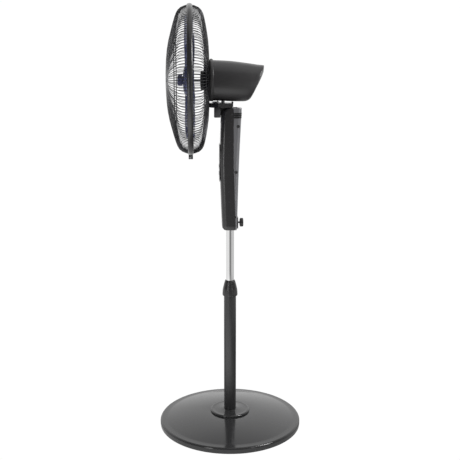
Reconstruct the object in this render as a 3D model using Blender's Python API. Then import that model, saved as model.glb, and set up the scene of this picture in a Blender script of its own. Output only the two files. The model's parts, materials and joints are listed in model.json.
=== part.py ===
"""Pedestal fan: a standing fan with a round base, a telescopic pole, a control box,
a tilting and swinging head, and a wire guard around five blades.

Frame: metres, +Z up, origin on the floor under the pole. The fan blows towards -X.
"""

import math

import bmesh
import bpy
from mathutils import Matrix, Vector

# ---------------------------------------------------------------- fits
TOUCH = 0.0003  # gap between two pieces that touch
RUNNING = 0.0005  # radial gap of a piece that turns or slides in another
SCREW_GAP = 0.0003  # radial gap of a screw in its hole

# ---------------------------------------------------------------- base
BASE_RADIUS = 0.2235
BASE_RIM_HEIGHT = 0.022
BASE_RIM_ROUND = 0.007
BASE_SKIRT_LIFT = 0.003
BASE_WALL = 0.0025
DOME_HEIGHT = 0.0425  # top of the dome above the floor
FOOT_RADIUS = 0.012
FOOT_HEIGHT = 0.006
FOOT_CIRCLE = 0.175
FOOT_COUNT = 4
BALLAST_RADIUS = 0.194
BALLAST_THICKNESS = 0.005
SOCKET_FLANGE_RADIUS = 0.036
SOCKET_FLANGE_THICKNESS = 0.004
SOCKET_HEIGHT = 0.050
POLE_BOLT_RADIUS = 0.004
POLE_BOLT_HEAD_RADIUS = 0.0075
POLE_BOLT_LENGTH = 0.038
ESCUTCHEON_RADIUS = 0.062
ESCUTCHEON_HEIGHT = 0.008

# ---------------------------------------------------------------- pole and height lock
POLE_RADIUS = 0.019
POLE_WALL = 0.0015
POLE_TOP = 0.440
LINER_DEPTH = 0.080  # length of the liner inside the pole
COLLET_HEIGHT = 0.022  # length of the liner above the pole
COLLAR_SKIRT = 0.0045  # collar outside beyond the pole
COLLAR_LIP = 0.0025  # collar top outside beyond the inner tube
COLLAR_DROP = 0.0115  # how far the collar reaches down over the pole
COLLAR_HEIGHT = 0.0485
TUBE_RADIUS = 0.0125
TUBE_WALL = 0.0012
TUBE_BOTTOM = 0.225
GUIDE_HEIGHT = 0.018

# ---------------------------------------------------------------- control box
CASE_BOTTOM = 0.640
CASE_WALL = 0.0022
CASE_CORNER = 0.010
SEAM_TOP_X = 0.0090  # plane where the front and the rear cover meet, in the upper part
SEAM_LOW_X = 0.0150  # the same at the bottom, where the case is thinner
# Each station: height, front face, rear face, half width.
CASE_STATIONS = (
    (CASE_BOTTOM, -0.0203, 0.0200, 0.0270),
    (0.655, -0.0246, 0.0205, 0.0290),
    (0.729, -0.0277, 0.0226, 0.0315),
    (0.852, -0.0309, 0.0263, 0.0355),
    (0.972, -0.0274, 0.0320, 0.0365),
)
SHOULDER_Z = 0.9925  # where the case's front starts to round over
SHOULDER_FRONT = -0.0262
SHOULDER_DEPTH = 0.024  # how far the rounding reaches back
CASE_TOP_REAR = 0.0340
CASE_TOP_HALF_WIDTH = 0.0355
PANEL_BOTTOM = 0.790
PANEL_TOP = 0.900
PANEL_HALF_WIDTH = 0.024
PANEL_THICKNESS = 0.0014
KEY_RADIUS = 0.0062
KEY_SPACING = 0.020
KEY_PROUD = 0.0010
KEY_DEPTH = 0.0075
KEY_Z = 0.812
WINDOW_HALF_WIDTH = 0.016
WINDOW_HEIGHT = 0.022
BOARD_THICKNESS = 0.0016
COVER_SCREW_HEIGHTS = (0.955, 0.819, 0.681)
COVER_SCREW_RADIUS = 0.0034
CLAMP_Z = 0.660
CLAMP_PLATE_HEIGHT = 0.034
CLAMP_PLATE_THICKNESS = 0.003
CLAMP_SCREW_RADIUS = 0.003
CLAMP_KNOB_RADIUS = 0.0135
CLAMP_KNOB_LENGTH = 0.012
CLAMP_KNOB_STANDOFF = 0.0045
GLAND_RADIUS = 0.004
GLAND_DROP = 0.0065

# ---------------------------------------------------------------- tilt joint and neck
TILT_X = 0.003
TILT_Z = 0.9885
TILT_UP = math.radians(20.0)
CHEEK_RADIUS = 0.020
KNUCKLE_RADIUS = 0.0170
KNUCKLE_HALF_WIDTH = 0.0175
YOKE_THICKNESS = 0.0025
TILT_BOLT_RADIUS = 0.003
NECK_PLATE_THICKNESS = 0.0130
NECK_PLATE_ROUND = 0.041  # front end, about the swing axis
NECK_PLATE_REAR = 0.008
NECK_PLATE_REAR_HALF_WIDTH = 0.030
NECK_HOOK_HEIGHT = 0.0035
NECK_WALL_INNER = 0.0105  # side walls under the plate, clear of the pivot post's clip
NECK_WALL_DEPTH = 0.0245
SWING_X = -0.021
POST_RADIUS = 0.00525
BUSH_WALL = 0.002
POST_GAP = 0.0065  # clear height between neck plate and head

# ---------------------------------------------------------------- swing drive
STUD_ARM = 0.016  # swing axis to the stud on the head
SWING_LIMIT = math.radians(45.0)
CRANK_ARM = STUD_ARM * math.sin(SWING_LIMIT)
CRANK_X = -0.0386
CRANK_Y = -0.020
CRANK_THICKNESS = 0.0018
LINK_THICKNESS = 0.0016
LINK_HALF_WIDTH = 0.003
CRANK_PIN_RADIUS = 0.002
STUD_RADIUS = 0.0016
SYNC_MOTOR_RADIUS = 0.0080
SYNC_MOTOR_HEIGHT = 0.019
SYNC_COVER_HALF_LENGTH = 0.0095
SYNC_COVER_HALF_WIDTH = 0.0095
SYNC_COVER_WALL = 0.0014
SYNC_COVER_HEIGHT = 0.0290

# ---------------------------------------------------------------- head and motor
AXIS_Z = 1.088
HOUSING_FRONT = -0.0500
HOUSING_RADIUS = 0.059
HOUSING_WALL = 0.0022
# Each station of the housing: top x, top z, bottom x, bottom z, half width.
HOUSING_STATIONS = (
    (HOUSING_FRONT, AXIS_Z + HOUSING_RADIUS, HOUSING_FRONT, AXIS_Z - HOUSING_RADIUS, HOUSING_RADIUS),
    (0.000, 1.1445, -0.010, 1.0275, 0.0595),
    (0.050, 1.1385, 0.030, 1.0268, 0.0575),
    (0.080, 1.1340, 0.046, 1.0275, 0.0550),
    (0.0975, 1.1322, 0.0560, 1.0315, 0.0520),
    (0.1002, 1.1292, 0.0620, 1.0385, 0.0465),
    (0.0995, 1.1160, 0.0670, 1.0500, 0.0360),
)
COLLAR_RING_PROUD = 0.002
COLLAR_RING_LENGTH = 0.0115
BOSS_RADIUS = 0.0190
BOSS_FRONT = -0.088
GRILLE_SEAT_X = -0.0752
GRILLE_SEAT_RADIUS = 0.040
SHAFT_RADIUS = 0.004
SHAFT_REAR = 0.035
STATOR_RADIUS = 0.0425
STATOR_BORE = 0.0225
STATOR_FRONT = -0.020
STATOR_LENGTH = 0.025
COIL_LENGTH = 0.014
AIR_GAP = 0.0005
BRACKET_WALL = 0.0025
BEARING_RADIUS = 0.0085
BEARING_LENGTH = 0.008
LOCK_NUT_RADIUS = 0.028
LOCK_NUT_LENGTH = 0.0075

# ---------------------------------------------------------------- guard
RIM_X = -0.118
RIM_RADIUS = 0.220
RIM_WIDTH = 0.016
RIM_BAND = 0.0035
GUARD_WIRE = 0.0030
GUARD_SPOKES = 16
GUARD_EDGE_INSET = 0.0012
GRILLE_SEAT_LIFT = 0.0022  # wire centres ahead of their seat on the motor cover
BADGE_RADIUS = 0.0455
CLIP_HALF_WIDTH = 0.0065
CLIP_DROP = 0.0120
# Each grille point: radius, distance from the rim's middle plane.
FRONT_GRILLE = ((0.205, 0.031), (0.170, 0.049), (0.110, 0.062), (0.0495, 0.0690))
REAR_GRILLE = ((0.206, 0.033), (0.170, 0.048), (0.095, 0.0545))
BADGE_DOME = 0.0733

# ---------------------------------------------------------------- blades
BLADE_RADIUS = 0.190
BLADE_COUNT = 5
BLADE_MIDDLE_X = -0.1190
BLADE_HALF_DEPTH = 0.0150
BLADE_HALF_ANGLE = math.radians(26.0)
BLADE_THICKNESS = 0.0024
HUB_RADIUS = 0.047
HUB_FRONT = -0.1405
HUB_REAR = -0.106
SPINNER_RADIUS = 0.016
SPINNER_FRONT = -0.156

MATERIALS = {
    "gloss_black": ((0.030, 0.028, 0.029), 0.25, 0.0),
    "housing_grey": ((0.042, 0.040, 0.041), 0.35, 0.0),
    "pole_black": ((0.026, 0.024, 0.025), 0.30, 0.2),
    "base_grey": ((0.060, 0.061, 0.063), 0.22, 0.0),
    "rear_cover_grey": ((0.20, 0.20, 0.205), 0.30, 0.3),
    "chrome": ((0.80, 0.82, 0.81), 0.08, 1.0),
    "steel": ((0.45, 0.45, 0.46), 0.30, 1.0),
    "wire_steel": ((0.32, 0.32, 0.33), 0.25, 1.0),
    "cast_iron": ((0.10, 0.10, 0.10), 0.70, 0.6),
    "rubber": ((0.020, 0.020, 0.020), 0.80, 0.0),
    "blade_smoke": ((0.045, 0.048, 0.090), 0.12, 0.0),
    "badge_silver": ((0.50, 0.50, 0.51), 0.25, 0.6),
    "copper": ((0.70, 0.30, 0.15), 0.35, 1.0),
    "brass": ((0.65, 0.45, 0.18), 0.35, 1.0),
    "aluminium": ((0.60, 0.60, 0.62), 0.40, 1.0),
    "circuit_green": ((0.02, 0.14, 0.05), 0.45, 0.0),
    "window_black": ((0.010, 0.010, 0.012), 0.05, 0.0),
    "key_grey": ((0.30, 0.30, 0.31), 0.40, 0.0),
}

AXES = {
    "X": Matrix.Rotation(math.radians(90.0), 4, "Y"),
    "Y": Matrix.Rotation(math.radians(-90.0), 4, "X"),
    "Z": Matrix.Identity(4),
}


# ---------------------------------------------------------------- helpers
def clear_scene():
    """Remove every object of the opened scene."""
    for item in list(bpy.data.objects):
        bpy.data.objects.remove(item)


def material(name):
    """Return the named material, made on first use."""
    found = bpy.data.materials.get(name)
    if found:
        return found
    color, roughness, metallic = MATERIALS[name]
    made = bpy.data.materials.new(name)
    made.use_nodes = True
    shader = made.node_tree.nodes["Principled BSDF"]
    shader.inputs["Base Color"].default_value = (*color, 1.0)
    shader.inputs["Roughness"].default_value = roughness
    shader.inputs["Metallic"].default_value = metallic
    return made


def pivot(name, location, parent=None):
    """Return an empty on a joint's axis; location is in world coordinates."""
    empty = bpy.data.objects.new(name, None)
    bpy.context.scene.collection.objects.link(empty)
    empty["world"] = location
    empty.location = Vector(location)
    if parent:
        empty.parent = parent
        empty.location -= Vector(parent["world"])
    return empty


def add_object(name, mesh_builder, finish, at, parent, turn=None):
    """Link a new object whose mesh is mesh_builder, at a world place under a pivot."""
    if turn:
        mesh_builder.transform(turn)
    bmesh.ops.recalc_face_normals(mesh_builder, faces=mesh_builder.faces)
    mesh = bpy.data.meshes.new(name)
    mesh_builder.to_mesh(mesh)
    mesh_builder.free()
    mesh.shade_smooth()
    mesh.set_sharp_from_angle(angle=math.radians(35.0))
    made = bpy.data.objects.new(name, mesh)
    bpy.context.scene.collection.objects.link(made)
    mesh.materials.append(material(finish))
    made.location = Vector(at)
    if parent:
        made.parent = parent
        made.location -= Vector(parent["world"])
    return made


def turned(name, profile, finish, at=(0.0, 0.0, 0.0), axis="Z", steps=24, parent=None):
    """Turn a closed (radius, height) profile about an axis through `at`."""
    shape = bmesh.new()
    points = [shape.verts.new((radius, 0.0, height)) for radius, height in profile]
    on_axis = profile[0][0] == 0.0 and profile[-1][0] == 0.0
    pairs = list(zip(points, points[1:]))
    if not on_axis:
        pairs.append((points[-1], points[0]))
    edges = [shape.edges.new(pair) for pair in pairs]
    bmesh.ops.spin(
        shape,
        geom=points + edges,
        cent=(0.0, 0.0, 0.0),
        axis=(0.0, 0.0, 1.0),
        angle=2.0 * math.pi,
        steps=steps,
        use_merge=True,
    )
    bmesh.ops.remove_doubles(shape, verts=shape.verts, dist=0.00001)
    return add_object(name, shape, finish, at, parent, AXES[axis])


def cylinder(name, radius, low, high, finish, at=(0.0, 0.0, 0.0), axis="Z", steps=16, parent=None):
    """A plain round bar from low to high along an axis through `at`."""
    profile = ((0.0, low), (radius, low), (radius, high), (0.0, high))
    return turned(name, profile, finish, at, axis, steps, parent)


def ring(name, inner, outer, low, high, finish, at=(0.0, 0.0, 0.0), axis="Z", steps=24, parent=None):
    """A plain tube or washer from low to high along an axis through `at`."""
    profile = ((inner, low), (outer, low), (outer, high), (inner, high))
    return turned(name, profile, finish, at, axis, steps, parent)


def block(name, low, high, finish, parent=None, bevel=0.0):
    """A box between two world corners, with its origin at its middle."""
    middle = [(a + b) / 2.0 for a, b in zip(low, high)]
    size = [b - a for a, b in zip(low, high)]
    shape = bmesh.new()
    bmesh.ops.create_cube(shape, size=1.0, matrix=Matrix.Diagonal((*size, 1.0)))
    made = add_object(name, shape, finish, middle, parent)
    if bevel:
        rounding = made.modifiers.new("edges", "BEVEL")
        rounding.width = bevel
        rounding.segments = 2
    return made


def loft(name, rings, finish, at=(0.0, 0.0, 0.0), parent=None):
    """Join equal rings of world points into a closed solid with flat ends."""
    shape = bmesh.new()
    origin = Vector(at)
    rows = [[shape.verts.new(Vector(point) - origin) for point in points] for points in rings]
    count = len(rows[0])
    for lower, upper in zip(rows, rows[1:]):
        for index in range(count):
            after = (index + 1) % count
            shape.faces.new((lower[index], lower[after], upper[after], upper[index]))
    shape.faces.new(rows[0])
    shape.faces.new(rows[-1])
    return add_object(name, shape, finish, at, parent)


def use_tool(target, tool, operation):
    """Cut a hidden tool out of target, or add it, with an exact Boolean."""
    tool.hide_render = True
    tool.display_type = "WIRE"
    change = target.modifiers.new(tool.name, "BOOLEAN")
    change.operation = operation
    change.solver = "EXACT"
    change.object = tool


def cut(target, tool):
    """Cut a tool out of target."""
    use_tool(target, tool, "DIFFERENCE")


def add(target, tool):
    """Add a tool to target."""
    use_tool(target, tool, "UNION")


# ---------------------------------------------------------------- derived places
PLATE_LOW = FOOT_HEIGHT + TOUCH
PLATE_HIGH = PLATE_LOW + BALLAST_THICKNESS
FLANGE_LOW = PLATE_HIGH + TOUCH
FLANGE_HIGH = FLANGE_LOW + SOCKET_FLANGE_THICKNESS
SOCKET_TOP = FLANGE_LOW + SOCKET_HEIGHT
POLE_BORE = POLE_RADIUS - POLE_WALL
COLLAR_RADIUS = POLE_RADIUS + COLLAR_SKIRT
COLLAR_TOP_RADIUS = TUBE_RADIUS + COLLAR_LIP
COLLET_BASE = TUBE_RADIUS + 0.6 * (POLE_RADIUS - TUBE_RADIUS)
COLLAR_LOW = POLE_TOP - COLLAR_DROP
COLLAR_HIGH = COLLAR_LOW + COLLAR_HEIGHT
COLLET_TOP = POLE_TOP + COLLET_HEIGHT
TUBE_BORE = TUBE_RADIUS - TUBE_WALL
CASE_TOP = TILT_Z + CHEEK_RADIUS
YOKE_HALF_WIDTH = KNUCKLE_HALF_WIDTH + TOUCH + YOKE_THICKNESS
YOKE_HIGH = TILT_Z - KNUCKLE_RADIUS - 0.002
TUBE_TOP = YOKE_HIGH - YOKE_THICKNESS - TOUCH
NECK_PLATE_LOW = CASE_TOP + 0.001
NECK_PLATE_HIGH = NECK_PLATE_LOW + NECK_PLATE_THICKNESS
HEAD_LOW = NECK_PLATE_HIGH + POST_GAP
CRANK_LOW = NECK_PLATE_HIGH + RUNNING
CRANK_HIGH = CRANK_LOW + CRANK_THICKNESS
LINK_LOW = CRANK_HIGH + TOUCH
LINK_HIGH = LINK_LOW + LINK_THICKNESS
AXLE = (0.0, 0.0, AXIS_Z)


def case_front(height):
    """Front face of the control box above its shoulder: a quarter of an ellipse."""
    share = min(max(height - SHOULDER_Z, 0.0) / (CASE_TOP - SHOULDER_Z), 1.0)
    return SHOULDER_FRONT + SHOULDER_DEPTH * (1.0 - math.sqrt(1.0 - share**2))


def case_stations():
    """Stations of the control box from its floor to its top."""
    last = CASE_STATIONS[-1]
    stations = list(CASE_STATIONS)
    for turn in (0.0, 20.0, 40.0, 60.0, 75.0, 90.0):
        height = SHOULDER_Z + (CASE_TOP - SHOULDER_Z) * math.sin(math.radians(turn))
        share = (height - last[0]) / (CASE_TOP - last[0])
        rear = last[2] + share * (CASE_TOP_REAR - last[2])
        width = last[3] + share * (CASE_TOP_HALF_WIDTH - last[3])
        stations.append((height, case_front(height), rear, width))
    return stations


def case_at(height):
    """Front face, rear face and half width of the control box at a height."""
    stations = case_stations()
    for lower, upper in zip(stations, stations[1:]):
        if lower[0] <= height <= upper[0]:
            share = (height - lower[0]) / (upper[0] - lower[0])
            return [a + share * (b - a) for a, b in zip(lower[1:], upper[1:])]
    return list(stations[-1][1:])


def case_seam(height):
    """Plane of the seam between the two covers at a height."""
    low, high = CASE_STATIONS[1][0], CASE_STATIONS[3][0]
    share = min(max((height - low) / (high - low), 0.0), 1.0)
    return SEAM_LOW_X + share * (SEAM_TOP_X - SEAM_LOW_X)


def rounded_section(front, rear, half_width, height, round_front, round_rear):
    """A rounded rectangle in a level plane, as a ring of points."""
    corners = (
        (front, -half_width, 180.0, round_front),
        (rear, -half_width, 270.0, round_rear),
        (rear, half_width, 0.0, round_rear),
        (front, half_width, 90.0, round_front),
    )
    points = []
    for corner_x, corner_y, start, radius in corners:
        middle_x = corner_x + radius if corner_x == front else corner_x - radius
        middle_y = corner_y + radius if corner_y < 0.0 else corner_y - radius
        for step in range(5):
            angle = math.radians(start + 22.5 * step)
            x = middle_x + radius * math.cos(angle)
            y = middle_y + radius * math.sin(angle)
            points.append((x, y, height))
    return points


def case_solid(name, inset, front_side, finish, parent):
    """One half of the control box as a solid, or its inside when inset is a wall."""
    floor, roof = CASE_BOTTOM + inset, CASE_TOP - inset
    between = [station[0] for station in case_stations() if floor < station[0] < roof - 0.0005]
    rings = []
    for height in (floor, *between, roof):
        front, rear, half_width = case_at(height)
        corner = max(CASE_CORNER - inset, 0.002)
        split = case_seam(height)
        reach = 0.004 if inset else 0.0
        if front_side:
            section = (front + inset, split + reach, half_width - inset, height, corner, 0.0005)
        else:
            back = min(corner, rear - inset - split + reach - 0.001)
            section = (split + TOUCH - reach, rear - inset, half_width - inset, height, 0.0005, back)
        rings.append(rounded_section(*section))
    return loft(name, rings, finish, (0.0, 0.0, CASE_BOTTOM), parent)


# ---------------------------------------------------------------- stand
def build_stand():
    """Base, weights, feet, pole socket and outer pole."""
    dome_edge = BASE_RADIUS - 0.020
    outer = [(BASE_RADIUS - 0.002, BASE_SKIRT_LIFT), (BASE_RADIUS, BASE_SKIRT_LIFT + 0.004)]
    for step in range(5):
        angle = math.radians(22.5 * step)
        radius = BASE_RADIUS - BASE_RIM_ROUND * (1.0 - math.cos(angle))
        outer.append((radius, BASE_RIM_HEIGHT - BASE_RIM_ROUND * (1.0 - math.sin(angle))))
    rise = DOME_HEIGHT - BASE_RIM_HEIGHT
    for share in (0.25, 0.5, 0.75, 1.0):
        radius = dome_edge + share * (ESCUTCHEON_RADIUS - dome_edge)
        outer.append((radius, BASE_RIM_HEIGHT + rise * (1.0 - (1.0 - share) ** 1.6)))
    hole = POLE_RADIUS + TOUCH
    outer.append((hole, DOME_HEIGHT))
    inner = [(hole, DOME_HEIGHT - BASE_WALL), (ESCUTCHEON_RADIUS, DOME_HEIGHT - BASE_WALL)]
    inner.append((dome_edge, BASE_RIM_HEIGHT - BASE_WALL))
    inner.append((BASE_RADIUS - 0.004 - BASE_WALL, BASE_RIM_HEIGHT - 2.0 * BASE_WALL))
    inner.append((BASE_RADIUS - 0.002 - BASE_WALL, BASE_SKIRT_LIFT))
    turned("base_cover", outer + inner, "base_grey", steps=48)

    bolt_hole = POLE_BOLT_RADIUS + SCREW_GAP
    ring("base_ballast", bolt_hole, BALLAST_RADIUS, PLATE_LOW, PLATE_HIGH, "cast_iron", steps=32)
    for index in range(FOOT_COUNT):
        angle = 2.0 * math.pi * (index + 0.5) / FOOT_COUNT
        place = (FOOT_CIRCLE * math.cos(angle), FOOT_CIRCLE * math.sin(angle), 0.0)
        cylinder(f"foot_{index + 1}", FOOT_RADIUS, 0.0, FOOT_HEIGHT, "rubber", place, steps=16)

    spigot = POLE_BORE - TOUCH
    socket = (
        (bolt_hole, FLANGE_LOW),
        (SOCKET_FLANGE_RADIUS, FLANGE_LOW),
        (SOCKET_FLANGE_RADIUS, FLANGE_HIGH),
        (spigot, FLANGE_HIGH),
        (spigot, SOCKET_TOP),
        (bolt_hole, SOCKET_TOP),
    )
    turned("pole_socket", socket, "steel")
    head_high = PLATE_LOW - TOUCH
    bolt = (
        (0.0, 0.0008),
        (POLE_BOLT_HEAD_RADIUS, 0.0008),
        (POLE_BOLT_HEAD_RADIUS, head_high),
        (POLE_BOLT_RADIUS, head_high),
        (POLE_BOLT_RADIUS, head_high + POLE_BOLT_LENGTH),
        (0.0, head_high + POLE_BOLT_LENGTH),
    )
    turned("pole_bolt", bolt, "steel", steps=12)

    low = DOME_HEIGHT + TOUCH
    bore = POLE_RADIUS + TOUCH
    escutcheon = [(bore, low), (ESCUTCHEON_RADIUS - 0.001, low), (ESCUTCHEON_RADIUS, low + 0.001)]
    for share in (0.0, 0.5, 1.0):
        angle = math.radians(90.0 * share)
        radius = ESCUTCHEON_RADIUS - 0.004 * (1.0 - math.cos(angle))
        escutcheon.append((radius, low + ESCUTCHEON_HEIGHT - 0.004 * (2.0 - math.sin(angle))))
    escutcheon.append((ESCUTCHEON_RADIUS - 0.014, low + ESCUTCHEON_HEIGHT - 0.002))
    escutcheon.append((bore, low + ESCUTCHEON_HEIGHT))
    turned("pole_escutcheon", escutcheon, "base_grey", steps=32)

    ring("outer_pole", POLE_BORE, POLE_RADIUS, FLANGE_HIGH + TOUCH, POLE_TOP, "pole_black")
    tube_hole = TUBE_RADIUS + TOUCH
    lip = POLE_TOP + TOUCH
    liner = (
        (tube_hole, POLE_TOP - LINER_DEPTH),
        (POLE_BORE - TOUCH, POLE_TOP - LINER_DEPTH),
        (POLE_BORE - TOUCH, lip),
        (POLE_RADIUS - 0.0005, lip),
        (POLE_RADIUS - 0.0005, lip + 0.002),
        (COLLET_BASE, lip + 0.0035),
        (TUBE_RADIUS + 0.0016, COLLET_TOP),
        (tube_hole, COLLET_TOP),
    )
    turned("pole_liner", liner, "gloss_black")


def build_collar():
    """Bell-shaped collar that locks the height; it turns about the pole."""
    axis = pivot("collar_axis", (0.0, 0.0, COLLAR_LOW))
    top = COLLAR_HEIGHT
    shoulder = POLE_TOP + 0.0035 - COLLAR_LOW
    collet_end = COLLET_TOP + 0.0008 - COLLAR_LOW
    wide = POLE_RADIUS + 0.0007
    profile = (
        (wide, 0.0),
        (COLLAR_RADIUS - 0.0006, 0.0),
        (COLLAR_RADIUS, 0.0006),
        (COLLAR_RADIUS - 0.0003, 0.25 * top),
        (COLLAR_RADIUS - 0.0025, 0.45 * top),
        (COLLAR_TOP_RADIUS + 0.0036, 0.68 * top),
        (COLLAR_TOP_RADIUS + 0.0020, 0.85 * top),
        (COLLAR_TOP_RADIUS + 0.0008, 0.96 * top),
        (COLLAR_TOP_RADIUS, top),
        (TUBE_RADIUS + 0.0007, top),
        (TUBE_RADIUS + 0.0007, collet_end),
        (TUBE_RADIUS + 0.0025, collet_end),
        (COLLET_BASE + 0.0009, shoulder),
        (wide, shoulder - 0.001),
    )
    turned("lock_collar", profile, "gloss_black", (0.0, 0.0, COLLAR_LOW), parent=axis)


# ---------------------------------------------------------------- column
def build_tube(column):
    """Inner tube, its guide ring and the yoke on its top."""
    length = TUBE_TOP - TUBE_BOTTOM
    place = (0.0, 0.0, TUBE_BOTTOM)
    ring("inner_tube", TUBE_BORE, TUBE_RADIUS, 0.0, length, "chrome", place, parent=column)
    plug = TUBE_BORE - TOUCH
    guide = (
        (plug - 0.003, -GUIDE_HEIGHT),
        (POLE_BORE - RUNNING, -GUIDE_HEIGHT),
        (POLE_BORE - RUNNING, -TOUCH),
        (plug, -TOUCH),
        (plug, 0.012),
        (plug - 0.003, 0.012),
    )
    turned("tube_guide", guide, "gloss_black", place, parent=column)

    low = YOKE_HIGH - YOKE_THICKNESS
    floor_low = (-0.013, -YOKE_HALF_WIDTH, low)
    floor_high = (0.0150, YOKE_HALF_WIDTH, YOKE_HIGH)
    yoke = block("tilt_yoke", floor_low, floor_high, "steel", column)
    bolt_bore = TILT_BOLT_RADIUS + SCREW_GAP
    reach = YOKE_HALF_WIDTH + 0.005
    for side in (-1.0, 1.0):
        inner = side * (KNUCKLE_HALF_WIDTH + TOUCH)
        outer = side * YOKE_HALF_WIDTH
        ear_low = (TILT_X - 0.009, min(inner, outer), low + 0.001)
        ear_high = (TILT_X + 0.009, max(inner, outer), TILT_Z + 0.009)
        ear_name = "yoke_ear_left" if side < 0.0 else "yoke_ear_right"
        add(yoke, block(ear_name, ear_low, ear_high, "steel", column))
    shank = cylinder("yoke_plug", plug, -0.030, 0.001, "steel", (0.0, 0.0, low), parent=column)
    add(yoke, shank)
    axis = (TILT_X, 0.0, TILT_Z)
    cut(yoke, cylinder("yoke_bore", bolt_bore, -reach, reach, "steel", axis, "Y", parent=column))

    head_low = YOKE_HALF_WIDTH + TOUCH
    bolt = (
        (0.0, -head_low - 0.0028),
        (0.0050, -head_low - 0.0028),
        (0.0050, -head_low),
        (TILT_BOLT_RADIUS, -head_low),
        (TILT_BOLT_RADIUS, head_low + 0.0036),
        (0.0, head_low + 0.0036),
    )
    turned("tilt_bolt", bolt, "steel", axis, "Y", 12, column)
    nut_bore = TILT_BOLT_RADIUS + SCREW_GAP
    ring("tilt_nut", nut_bore, 0.0052, head_low, head_low + 0.0030, "steel", axis, "Y", 12, column)


def build_case(column):
    """Control box covers, screws, clamp plate and cord gland."""
    front = case_solid("control_front_cover", 0.0, True, "gloss_black", column)
    cut(front, case_solid("front_cover_inside", CASE_WALL, True, "gloss_black", column))
    rear = case_solid("control_rear_cover", 0.0, False, "rear_cover_grey", column)
    cut(rear, case_solid("rear_cover_inside", CASE_WALL, False, "rear_cover_grey", column))

    slot_half = YOKE_HALF_WIDTH + 0.0015
    slot_low = (-0.040, -slot_half, YOKE_HIGH - YOKE_THICKNESS - 0.001)
    slot_high = (TILT_X + KNUCKLE_RADIUS + 0.002, slot_half, CASE_TOP + 0.010)
    cut(front, block("neck_slot", slot_low, slot_high, "gloss_black", column))
    roof_low = (-0.002, -slot_half, TILT_Z - 0.010)
    roof_high = (TILT_X + KNUCKLE_RADIUS + 0.0022, slot_half, CASE_TOP + 0.010)
    cut(rear, block("neck_slot_rear", roof_low, roof_high, "gloss_black", column))

    hole = TUBE_RADIUS + TOUCH
    foot = (0.0, 0.0, CASE_BOTTOM)
    reach = 2.0 * CASE_WALL
    for cover, label in ((front, "front"), (rear, "rear")):
        tool = cylinder(f"tube_hole_{label}", hole, -reach, reach, "steel", foot, steps=24, parent=column)
        cut(cover, tool)

    for index, height in enumerate(COVER_SCREW_HEIGHTS):
        _, face, half_width = case_at(height)
        for side, label in ((-1.0, "a"), (1.0, "b")):
            y = side * (half_width - CASE_CORNER * 1.15)
            place = (face, y, height)
            well = COVER_SCREW_RADIUS + SCREW_GAP
            tool = cylinder(f"well_{index}_{label}", well, -0.006, 0.004, "steel", place, "X", 12, column)
            cut(rear, tool)
            if side > 0.0:
                continue
            screw = (
                (0.0, -0.0145),
                (0.0014, -0.0145),
                (0.0014, -0.0042),
                (COVER_SCREW_RADIUS, -0.0032),
                (COVER_SCREW_RADIUS, -0.0014),
                (0.0, -0.0008),
            )
            turned(f"cover_screw_{index + 1}", screw, "steel", place, "X", 12, column)

    _, face, _ = case_at(CLAMP_Z + CLAMP_PLATE_HEIGHT / 2.0)
    plate_front = face + TOUCH
    plate_rear = plate_front + CLAMP_PLATE_THICKNESS
    plate_low = (plate_front, -0.015, CLAMP_Z - CLAMP_PLATE_HEIGHT / 2.0)
    plate_high = (plate_rear, 0.015, CLAMP_Z + CLAMP_PLATE_HEIGHT / 2.0)
    plate = block("clamp_plate", plate_low, plate_high, "gloss_black", column, bevel=0.0008)
    screw_axis = (0.0, 0.0, CLAMP_Z)
    bore = CLAMP_SCREW_RADIUS + SCREW_GAP
    cut(plate, cylinder("plate_bore", bore, 0.005, 0.05, "steel", screw_axis, "X", parent=column))
    cut(rear, cylinder("clamp_bore", bore, 0.005, 0.05, "steel", screw_axis, "X", parent=column))
    build_clamp_knob(column, plate_rear)

    gland = (
        (0.0, -GLAND_DROP),
        (GLAND_RADIUS - 0.001, -GLAND_DROP),
        (GLAND_RADIUS, -GLAND_DROP + 0.001),
        (GLAND_RADIUS, -TOUCH),
        (0.0, -TOUCH),
    )
    turned("cord_gland", gland, "rubber", (0.010, 0.0175, CASE_BOTTOM), steps=16, parent=column)
    return front


def build_clamp_knob(column, plate_rear):
    """Thumb knob and screw that clamp the box to the tube; they turn about X."""
    axis = pivot("clamp_axis", (plate_rear, 0.0, CLAMP_Z), column)
    place = (plate_rear, 0.0, CLAMP_Z)
    tip = TUBE_RADIUS + TOUCH - plate_rear
    knob_front = CLAMP_KNOB_STANDOFF
    end = knob_front + CLAMP_KNOB_LENGTH
    knob = (
        (0.0, tip),
        (CLAMP_SCREW_RADIUS, tip),
        (CLAMP_SCREW_RADIUS, knob_front),
        (CLAMP_KNOB_RADIUS - 0.002, knob_front),
        (CLAMP_KNOB_RADIUS, knob_front + 0.002),
        (CLAMP_KNOB_RADIUS, end - 0.003),
        (CLAMP_KNOB_RADIUS - 0.0025, end),
        (0.0, end),
    )
    turned("clamp_knob", knob, "gloss_black", place, "X", 24, axis)


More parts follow.
